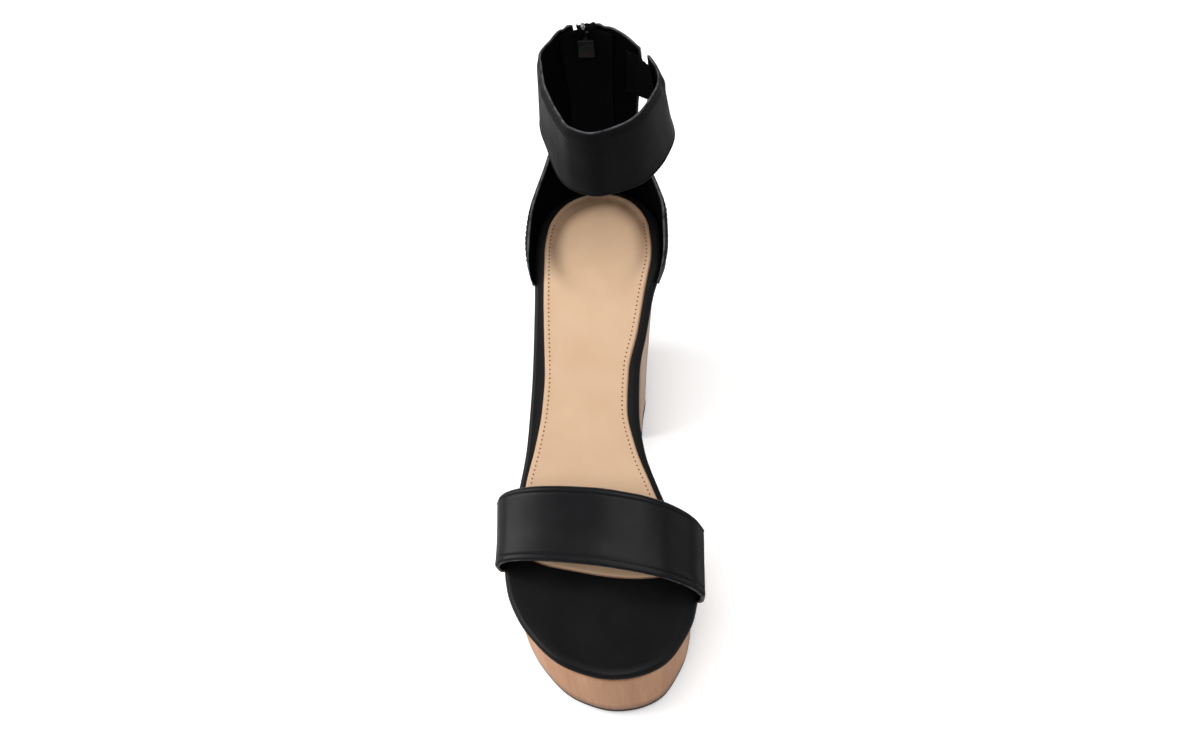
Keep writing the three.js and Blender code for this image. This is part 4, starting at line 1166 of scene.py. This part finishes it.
def rim_wave(turn):
    """How far the cuff's top edge strays from level, most where the zip pulls at it."""
    beside = (abs(turn) - SLOT_TURN) / turn_at(1)
    lump = sum(rise * bump_at(beside, at, width) for at, width, rise in ZIP_LUMPS)
    dip = rim_height(turn) - CUFF_TOP
    wave = 0.16 * math.sin(4 * math.pi * turn)
    ripple = 0.08 * math.sin(7 * math.pi * turn + 1)
    return (lump if turn < 0 else 0.75 * lump) + dip + wave + ripple


def rim_lift(turn, height):
    """What the top edge's wave adds at a height: all of it at the top and none of it lower down."""
    return rim_wave(turn) * smooth((height - CUFF_TOP + RIM_FADE) / RIM_FADE)


# Faint folds of the toe band: place over it, place across it, length each way and depth outwards
BAND_FOLDS = [(-0.97, 0.35, 0.05, 0.5, -0.3), (-0.9, 0.75, 0.05, 0.35, 0.22), (0.95, 0.4, 0.05, 0.5, -0.32),
              (0.88, 0.8, 0.05, 0.3, 0.22), (-0.35, 0.3, 0.16, 0.4, -0.18), (0.3, 0.7, 0.2, 0.35, -0.2),
              (0.62, 0.35, 0.12, 0.4, 0.18)]


def band_relief(place_on, across):
    """Turned edges and stitch grooves of the toe band, with its faint folds."""
    from_front = across * BAND_LENGTH
    from_back = (1 - across) * BAND_LENGTH
    out = 0.12 * bump_at(from_front, 1.2, 0.7) - 0.22 * bump_at(from_front, BAND_STITCH, 0.4)
    out += 0.14 * bump_at(from_back, 0.6, 0.45) - 0.16 * bump_at(from_back, 1.5, 0.3)
    for at, level, along, tall, depth in BAND_FOLDS:
        out += depth * math.exp(-(((place_on - at) / along) ** 2) - ((across - level) / tall) ** 2)
    return out


def toe_band():
    places = band_places(96)
    near_edge = [0, 0.5, 1.0, 1.4, 1.8, 2.1, 2.4, 2.7, 3.1]
    near_back = [3.0, 2.4, 1.9, 1.5, 1.2, 0.9, 0.6, 0.3, 0]
    rows = [d / BAND_LENGTH for d in near_edge]
    rows += spread(rows[-1], 1 - near_back[0] / BAND_LENGTH, 17)[:-1]
    rows += [1 - d / BAND_LENGTH for d in near_back]
    grid = [[band_point(p, r) for r in rows] for p in places]
    relief = [[band_relief(p, r) for r in rows] for p in places]
    piece = wall("toe_band_leather", grid, every_cell, BAND_WALL, [BAND_LEATHER, LINING], relief=relief)
    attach(piece, "shoe")
    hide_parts("toe_band")


# Rows of the cuff's grid, closer together at its edges: distance from the bottom edge and from the top edge
LOWER_STEPS = [0.25, 0.5, 0.75, 0.95, 1.15, 1.35, 1.6, 2.1, 3.0]
UPPER_STEPS = [7.2, 6.4, 5.9, 5.5, 5.1, 4.7, 4.2, 3.8, 3.4, 3.0, 2.6, 2.3, 2.0, 1.7, 1.4, 1.0, 0.5, 0]


def quarter():
    half = ([0] + spread(0, SLOT_TURN, 5) + spread(SLOT_TURN, STRIP_TURN, 32)
            + spread(STRIP_TURN, GORE_TURN, 10) + spread(GORE_TURN, CORNER_TURN, 36)
            + spread(CORNER_TURN, 1, 56))
    turns = half[::-1] + [-t for t in half[1:-1]]
    zip_share = (ZIP_BOTTOM - SEAT_HEIGHT - LASTING_RISE) / (QUARTER_HEIGHT - LASTING_RISE)
    lasted = [(mix(LASTED[0][0], LASTED[2][0], k / 4), 1 - k / 5) for k in range(5)]
    counter = [0] + spread(0, zip_share, 6) + spread(zip_share, 1, 18)
    strip = spread(0, 1, 22)
    cuff = [CUFF_BOTTOM + d for d in LOWER_STEPS]
    cuff += spread(cuff[-1], CUFF_TOP - UPPER_STEPS[0], 17)[:-1] + [CUFF_TOP - d for d in UPPER_STEPS]
    zip_row = len(lasted) + 6
    top_row = len(lasted) + len(counter) - 1
    cuff_row = top_row + len(strip)

    def sweep_at(j):
        return CORNER_SWEEP * lasted[j][1] if j < len(lasted) else 0.0

    def height_at(turn, j):
        along = seat_point(turn, sweep_at(j))[0]
        if j < len(lasted):
            return footbed_under(along) + FOOTBED_THICKNESS * lasted[j][0]
        if j <= top_row:
            return mix(footbed_top(along) + LASTING_RISE, top_line(turn), counter[j - len(lasted)])
        if j <= cuff_row:
            return mix(top_line(turn), CUFF_BOTTOM, strip[j - top_row - 1])
        return cuff[j - cuff_row - 1]

    def spot(turn, j):
        height = height_at(turn, j)
        x, y, z = upper_point(turn, height, sweep=sweep_at(j))
        return x, y, z + rim_lift(turn, height)

    count = cuff_row + len(cuff) + 1
    grid = [[spot(turn, j) for j in range(count)] for turn in turns]
    relief = [[cuff_relief(turn, height_at(turn, j)) if j > zip_row else 0 for j in range(count)]
              for turn in turns]
    for turn, column in zip(turns, relief):
        for j in range(top_row + 1):
            column[j] -= skiving(turn)

    def keep(i, j):
        after = turns[(i + 1) % len(turns)]
        middle = (turns[i] + after) / 2 if after < turns[i] else 1
        around = abs(middle)
        if around < SLOT_TURN:
            return j < zip_row
        if around < STRIP_TURN:
            return True
        if 0 < middle < GORE_TURN and j >= cuff_row:
            return False
        return j >= cuff_row or (around < CORNER_TURN and j < top_row)

    piece = wall("heel_quarter_leather", grid, keep, UPPER_WALL, [LEATHER, LINING], closed=True,
                 relief=relief)
    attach(piece, "shoe")
    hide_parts("heel_quarter")


def gore():
    overlap = (GORE_TURN - STRIP_TURN) * GORE_OVERLAP / GORE_WIDTH
    first, last = GORE_TURN + overlap, STRIP_TURN - overlap
    turns = [first] + spread(first, last, 60)
    heights = [CUFF_BOTTOM + GORE_LIFT] + spread(CUFF_BOTTOM + GORE_LIFT, CUFF_TOP - GORE_DROP, 40)

    def spot(turn, height):
        rib = 0.07 * math.sin(turn / turn_at(1) * 2 * math.pi / 1.5)
        droop = smooth((height - CUFF_TOP + 14) / 12)
        slack = 0.55 * math.sin(turn / turn_at(1) * 0.9 + height * 0.42) * (0.35 + droop) - 0.9 * droop
        x, y, z = upper_point(turn, height, out=-GAP - GORE_WALL + rib + slack)
        return x, y, z + droop * 0.5 * math.sin(turn / turn_at(1) * 1.9)

    grid = [[spot(t, h) for h in heights] for t in turns]
    piece = wall("elastic_gore_ribbed", grid, every_cell, GORE_WALL * 0.8, [GORE_CLOTH])
    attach(piece, "shoe")
    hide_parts("elastic_gore")


# Zip

SLIDER_MIDDLE = CUFF_TOP - SLIDER_LENGTH / 2 - SLIDER_DROP
CHAIN_TOP = SLIDER_MIDDLE + SLIDER_LENGTH * 0.2


def zip_tapes():
    notch, reach = turn_at(1.6), turn_at(TAPE_WIDTH / 2)
    half = [notch] + spread(notch, reach, 12)
    turns = half[::-1] + [-t for t in half]
    bottom, top = ZIP_BOTTOM - 5, CUFF_TOP - 1.5
    heights = [bottom] + spread(bottom, CHAIN_TOP, 44) + spread(CHAIN_TOP, top, 6)
    middle = len(half) - 1
    grid = [[upper_point(t, h, out=-GAP - TAPE_THICKNESS) for h in heights] for t in turns]
    keep = lambda i, j: i != middle or heights[j] < CHAIN_TOP - 0.01
    piece = wall("zip_tapes_woven", grid, keep, TAPE_THICKNESS, [TAPE_CLOTH])
    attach(piece, "shoe")
    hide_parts("zip_tapes")


# The fold of a tape's end, seen from the side: distance outwards and height over the cuff's top
TAPE_FOLD = [(0.6, -6.0), (0.6, -4.5), (0.65, -3.0), (0.6, -1.5), (0.4, -0.5), (-0.1, 0.2), (-0.9, 0.45),
             (-1.7, 0.2), (-2.2, -0.5), (-2.35, -1.5), (-2.1, -2.6)]


def zip_tape_ends():
    """The tapes' top ends, folded over towards the inside and pinched."""
    for name, start, end, top in (("left", -2.9, -0.5, 0.2), ("right", 0.3, 4.3, 0.4)):
        columns = [start] + spread(start, end, 8)
        grid = []
        for c, x in enumerate(columns):
            wave = 0.3 * math.sin(c * 1.1 + start) - 0.12 * c * (1 if start < 0 else -0.6)
            grid.append([
                (x + 0.15 * math.sin(k), -CUFF_BACK - 1.5 + along, CUFF_TOP + top + up + wave * (up > -4))
                for k, (along, up) in enumerate(TAPE_FOLD)
            ])
        piece = wall(f"zip_tape_end_{name}", grid, every_cell, TAPE_THICKNESS, [TAPE_CLOTH])
        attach(piece, "shoe")


# Repeats along a path


def path_tree():
    """Geometry nodes that set a small shape along a curve at an even pitch."""
    tree = bpy.data.node_groups.new("set_along_path", "GeometryNodeTree")
    inputs = {"Path": "Geometry", "Pitch": "Float", "Shape": "Object", "Finish": "Material"}
    for label, kind in inputs.items():
        tree.interface.new_socket(label, in_out="INPUT", socket_type=f"NodeSocket{kind}")
    tree.interface.new_socket("Pieces", in_out="OUTPUT", socket_type="NodeSocketGeometry")
    nodes = tree.nodes
    given, result = nodes.new("NodeGroupInput"), nodes.new("NodeGroupOutput")
    points = nodes.new("GeometryNodeCurveToPoints")
    points.mode = "LENGTH"
    shape = nodes.new("GeometryNodeObjectInfo")
    turn = nodes.new("FunctionNodeAlignRotationToVector")
    turn.axis = "Z"
    put = nodes.new("GeometryNodeInstanceOnPoints")
    real = nodes.new("GeometryNodeRealizeInstances")
    finish = nodes.new("GeometryNodeSetMaterial")
    for start, leaving, end, entering in (
        (given, "Path", points, "Curve"),
        (given, "Pitch", points, "Length"),
        (given, "Shape", shape, "Object"),
        (points, "Tangent", turn, "Vector"),
        (points, "Points", put, "Points"),
        (shape, "Geometry", put, "Instance"),
        (turn, "Rotation", put, "Rotation"),
        (put, "Instances", real, "Geometry"),
        (real, "Geometry", finish, "Geometry"),
        (given, "Finish", finish, "Material"),
        (finish, "Geometry", result, "Pieces"),
    ):
        tree.links.new(start.outputs[leaving], end.inputs[entering])
    return tree


PATH_TREE = path_tree()


def small_shape(name, build):
    """A small mesh object, used only as a pattern and taken out again by put_away()."""
    mesh = bpy.data.meshes.new(name)
    shape = bmesh.new()
    build(shape)
    for face in shape.faces:
        face.smooth = True
    shape.to_mesh(mesh)
    shape.free()
    return put_in_scene(name, mesh)


def put_away(*patterns):
    for pattern in patterns:
        bpy.data.objects.remove(pattern)


def stitch_shape(length, thickness):
    def build(shape):
        bmesh.ops.create_uvsphere(shape, u_segments=8, v_segments=6, radius=thickness / 2 * MM)
        bmesh.ops.scale(shape, vec=(1, 1, length / thickness), verts=shape.verts)
    return build


def set_along(name, paths, pattern, pitch, finish, body="shoe"):
    """One mesh of the pattern set along each path, a list of points in shoe millimetres."""
    curve = bpy.data.curves.new(name, "CURVE")
    curve.dimensions = "3D"
    for path in paths:
        spline = curve.splines.new("POLY")
        spline.points.add(len(path) - 1)
        for point, at in zip(spline.points, path):
            point.co = (*place(*at), 1)
    holder = put_in_scene(name, curve)
    modifier = holder.modifiers.new("along", "NODES")
    modifier.node_group = PATH_TREE
    key = {item.name: item.identifier for item in PATH_TREE.interface.items_tree if item.in_out == "INPUT"}
    modifier[key["Pitch"]] = pitch * MM
    modifier[key["Shape"]] = pattern
    modifier[key["Finish"]] = finish
    seen = holder.evaluated_get(bpy.context.evaluated_depsgraph_get())
    mesh = bpy.data.meshes.new_from_object(seen)
    bpy.data.objects.remove(holder)
    mesh.name = name
    piece = put_in_scene(name, mesh)
    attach(piece, body)
    return piece


STITCH_LENGTH, STITCH_THICKNESS, STITCH_PITCH, STITCH_LIFT, STITCH_INSET = 2.1, 0.38, 2.7, 0.06, 2.0


def stitching():
    pattern = small_shape("stitch_pattern", stitch_shape(STITCH_LENGTH, STITCH_THICKNESS))
    top = CUFF_TOP - STITCH_INSET
    strip_line = STRIP_TURN - turn_at(STITCH_INSET)

    def line(turn_heights):
        proud = UPPER_WALL + STITCH_LIFT
        thin = [skiving(t) if h < CUFF_BOTTOM else 0 for t, h in turn_heights]
        points = [upper_point(t, h, out=proud + cuff_relief(t, h) - s)
                  for (t, h), s in zip(turn_heights, thin)]
        return [(x, y, z + rim_lift(t, h)) for (x, y, z), (t, h) in zip(points, turn_heights)]

    paths = []
    # strip edges and the quarter's top line
    strip_heights = [top] + spread(top, CUFF_BOTTOM, 14)
    strip_heights += spread(CUFF_BOTTOM, SEAT_HEIGHT + QUARTER_HEIGHT, 14)
    quarter_turns = spread(STRIP_TURN, CORNER_TURN - 0.03, 40)
    for side in (1, -1):
        edge = [(side * strip_line, h) for h in strip_heights]
        edge += [(side * t, top_line(t) - STITCH_INSET * 1.15) for t in quarter_turns]
        paths.append(line(edge))
    # round the zip
    slot = SLOT_TURN + turn_at(2.2)
    low = ZIP_BOTTOM - 2.2
    down = [(slot, h) for h in [top] + spread(top, low, 60)]
    under = [(t, low) for t in spread(slot, -slot, 10)]
    up = [(-slot, h) for h in spread(low, top, 60)]
    paths.append(line(down + under + up))
    # the top edge of the back strip, either side of the zip
    for a, b in ((slot, strip_line), (-slot, -strip_line)):
        paths.append(line([(t, top) for t in [a] + spread(a, b, 12)]))
    set_along("upper_stitches", paths, pattern, STITCH_PITCH, BLACK_THREAD)

    places = band_places(60)[8:-8]
    front = band_outer(places, BAND_STITCH / BAND_LENGTH)
    set_along("toe_band_stitches", [front], pattern, STITCH_PITCH, BLACK_THREAD)
    put_away(pattern)


def band_outer(places, across):
    """Points on the toe band's outer face, found from the inner face's slope."""
    points = []
    for p in places:
        a = Vector(band_point(p - 0.004, across))
        b = Vector(band_point(p + 0.004, across))
        c = Vector(band_point(p, across - 0.02))
        d = Vector(band_point(p, across + 0.02))
        out = (b - a).cross(d - c).normalized()
        reach = BAND_WALL + STITCH_LIFT + band_relief(p, across)
        points.append(tuple(Vector(band_point(p, across)) + out * reach))
    return points


HOLE_INSET, HOLE_PITCH = 2.4, 2.0
HOLES_BACK, HOLES_FRONT = 24, 164


def sock_holes():
    # The holes are drawn as dark dots, not cut: painted shade inside each hole
    pattern = small_shape("hole_pattern", stitch_shape(0.7, 0.76))
    height = lambda along: footbed_top(along) + GAP + SOCK_THICKNESS - 0.02
    y, lateral, medial = sock_chain().inset(HOLE_INSET)
    keep = [i for i in range(len(y)) if HOLES_BACK < -y[i] < HOLES_FRONT]
    paths = [[(side[i], y[i], height(-y[i] / LENGTH)) for i in keep] for side in (lateral, medial)]
    set_along("sock_pinholes", paths, pattern, HOLE_PITCH, HOLE_SHADE)
    put_away(pattern)


def bevelled_box(shape, size, offset, segments, profile):
    made = bmesh.ops.create_cube(shape, size=1)["verts"]
    bmesh.ops.scale(shape, vec=[side * MM for side in size], verts=made)
    bmesh.ops.bevel(shape, geom=shape.edges[:], offset=offset * MM, segments=segments, affect="EDGES",
                    profile=profile)


def zip_teeth():
    pattern = small_shape("tooth_pattern", lambda shape: bevelled_box(shape, (2.5, 1.7, 0.95), 0.25, 2, 0.5))
    bottom = ZIP_BOTTOM + 1.5
    back = lambda h: upper_point(0, h)[1]
    heights = [bottom] + spread(bottom, CHAIN_TOP - 1, 60)
    left = [(-0.85, back(h) + 1.1, h) for h in heights]
    right = [(0.85, back(h + 0.75) + 1.1, h + 0.75) for h in heights]
    piece = set_along("zip_teeth", [left, right], pattern, 1.5, ZIP_METAL)
    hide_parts("zip_chain")
    put_away(pattern)


def zip_stops():
    """Metal clips pinched on to the tapes' inner edges above the slider."""
    def clip(shape):
        bevelled_box(shape, (1.9, 2.2, 3.0), 0.45, 3, 0.6)
        for vertex in shape.verts:
            vertex.co.x *= 1 - 0.25 * abs(vertex.co.z) / (1.5 * MM)

    pattern = small_shape("stop_pattern", clip)
    back = -CUFF_BACK - 2.4
    tops = ((-0.85, CUFF_TOP + 0.9), (0.95, CUFF_TOP + 0.2))
    paths = [[(x, back, top - 1.4), (x, back, top - 0.4)] for x, top in tops]
    set_along("zip_stops", paths, pattern, 2.0, STOP_STEEL)
    put_away(pattern)


def bevelled_copy(node, name, width, body):
    """A CAD node's shape with softened edges."""
    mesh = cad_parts[node].data.copy()
    mesh.materials.clear()
    mesh.materials.append(ZIP_METAL)
    shape = bmesh.new()
    shape.from_mesh(mesh)
    bmesh.ops.remove_doubles(shape, verts=shape.verts, dist=1e-6)
    bmesh.ops.dissolve_limit(shape, angle_limit=math.radians(1), verts=shape.verts, edges=shape.edges)
    sharp = [e for e in shape.edges if len(e.link_faces) == 2 and e.calc_face_angle(0) > math.radians(40)]
    bmesh.ops.bevel(shape, geom=sharp, offset=width * MM, segments=2, affect="EDGES", profile=0.5,
                    clamp_overlap=True)
    for face in shape.faces:
        face.smooth = True
        face.material_index = 0
    shape.to_mesh(mesh)
    shape.free()
    for layer in list(mesh.color_attributes):
        mesh.color_attributes.remove(layer)
    edge = mesh.attributes.new("edge", "FLOAT", "POINT")
    edge.data.foreach_set("value", np.full(len(mesh.vertices), 0.5, np.float32))
    mesh.set_sharp_from_angle(angle=math.radians(50))
    piece = put_in_scene(name, mesh)
    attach(piece, body)
    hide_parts(node)


footbed()
sock()
platform()
outsole()
heel_block()
heel_top_piece()
toe_band()
quarter()
gore()
zip_tapes()
zip_tape_ends()
stitching()
sock_holes()
zip_teeth()
zip_stops()
bevelled_copy("zip_slider", "zip_slider_cast", 0.22, "shoe")
bevelled_copy("zip_pull", "zip_pull_cast", 0.22, "zip_pull")


# Floor and light


WHITE = (1, 1, 1, 1)
FLOOR_REACH = 3.0
LAMP_AIM = Vector((0, 0, 0.09))
# Lamps: name, place in metres, size and power
LAMPS = [
    ("key", (-1.1, 0.0, 0.6), 0.8, 12.5),
    ("fill", (0.95, -0.2, 0.6), 0.8, 2.6),
    ("top", (0.0, -0.1, 1.4), 0.9, 8.5),
    ("front", (0.0, -0.85, 1.15), 0.5, 3.4),
]


def studio_floor():
    """A floor that is near white to the camera and throws less light back on the shoe."""
    mesh = bpy.data.meshes.new("floor")
    corners = [(x * FLOOR_REACH, y * FLOOR_REACH, 0) for x, y in ((-1, -1), (1, -1), (1, 1), (-1, 1))]
    mesh.from_pydata(corners, [], [(0, 1, 2, 3)])
    f = Finish("studio_floor", roughness=0.9, specular=0.1)
    by_camera = f.tree.add("ShaderNodeLightPath").outputs["Is Camera Ray"]
    f.colour(f.tree.blend(by_camera, (0.6, 0.6, 0.6, 1), (0.97, 0.97, 0.97, 1)))
    f.set("Emission Color", WHITE)
    f.set("Emission Strength", f.tree.times(by_camera, 0.22))
    mesh.materials.append(f.material)
    put_in_scene("floor", mesh)


def studio_world():
    """Soft light, brighter from the outer side, behind which the camera sees even white."""
    world = bpy.data.worlds.new("studio")
    world.use_nodes = True
    tree = Tree(world.node_tree)
    direction = tree.add("ShaderNodeTexCoord").outputs["Generated"]
    across = tree.add("ShaderNodeSeparateXYZ", {0: direction}).outputs["X"]
    glow = tree.add("ShaderNodeMapRange", {"Value": across, "From Min": -1.0, "From Max": 0.6,
                                           "To Min": 0.5, "To Max": 0.22})
    soft = world.node_tree.nodes["Background"]
    tree.feed(soft.inputs["Color"], WHITE)
    tree.feed(soft.inputs["Strength"], glow.outputs[0])
    seen = tree.add("ShaderNodeBackground", {"Color": WHITE, "Strength": 0.9})
    by_camera = tree.add("ShaderNodeLightPath").outputs["Is Camera Ray"]
    both = tree.add("ShaderNodeMixShader", {0: by_camera, 1: soft.outputs[0], 2: seen.outputs[0]})
    tree.feed(world.node_tree.nodes["World Output"].inputs["Surface"], both.outputs[0])
    bpy.context.scene.world = world
    bpy.context.scene.view_settings.view_transform = "Standard"


def studio_lamps():
    for name, at, size, power in LAMPS:
        data = bpy.data.lights.new(name, "AREA")
        data.size = size
        data.energy = power
        lamp = put_in_scene(name, data)
        lamp.location = at
        lamp.rotation_euler = (LAMP_AIM - Vector(at)).to_track_quat("-Z", "Y").to_euler()


studio_floor()
studio_world()
studio_lamps()
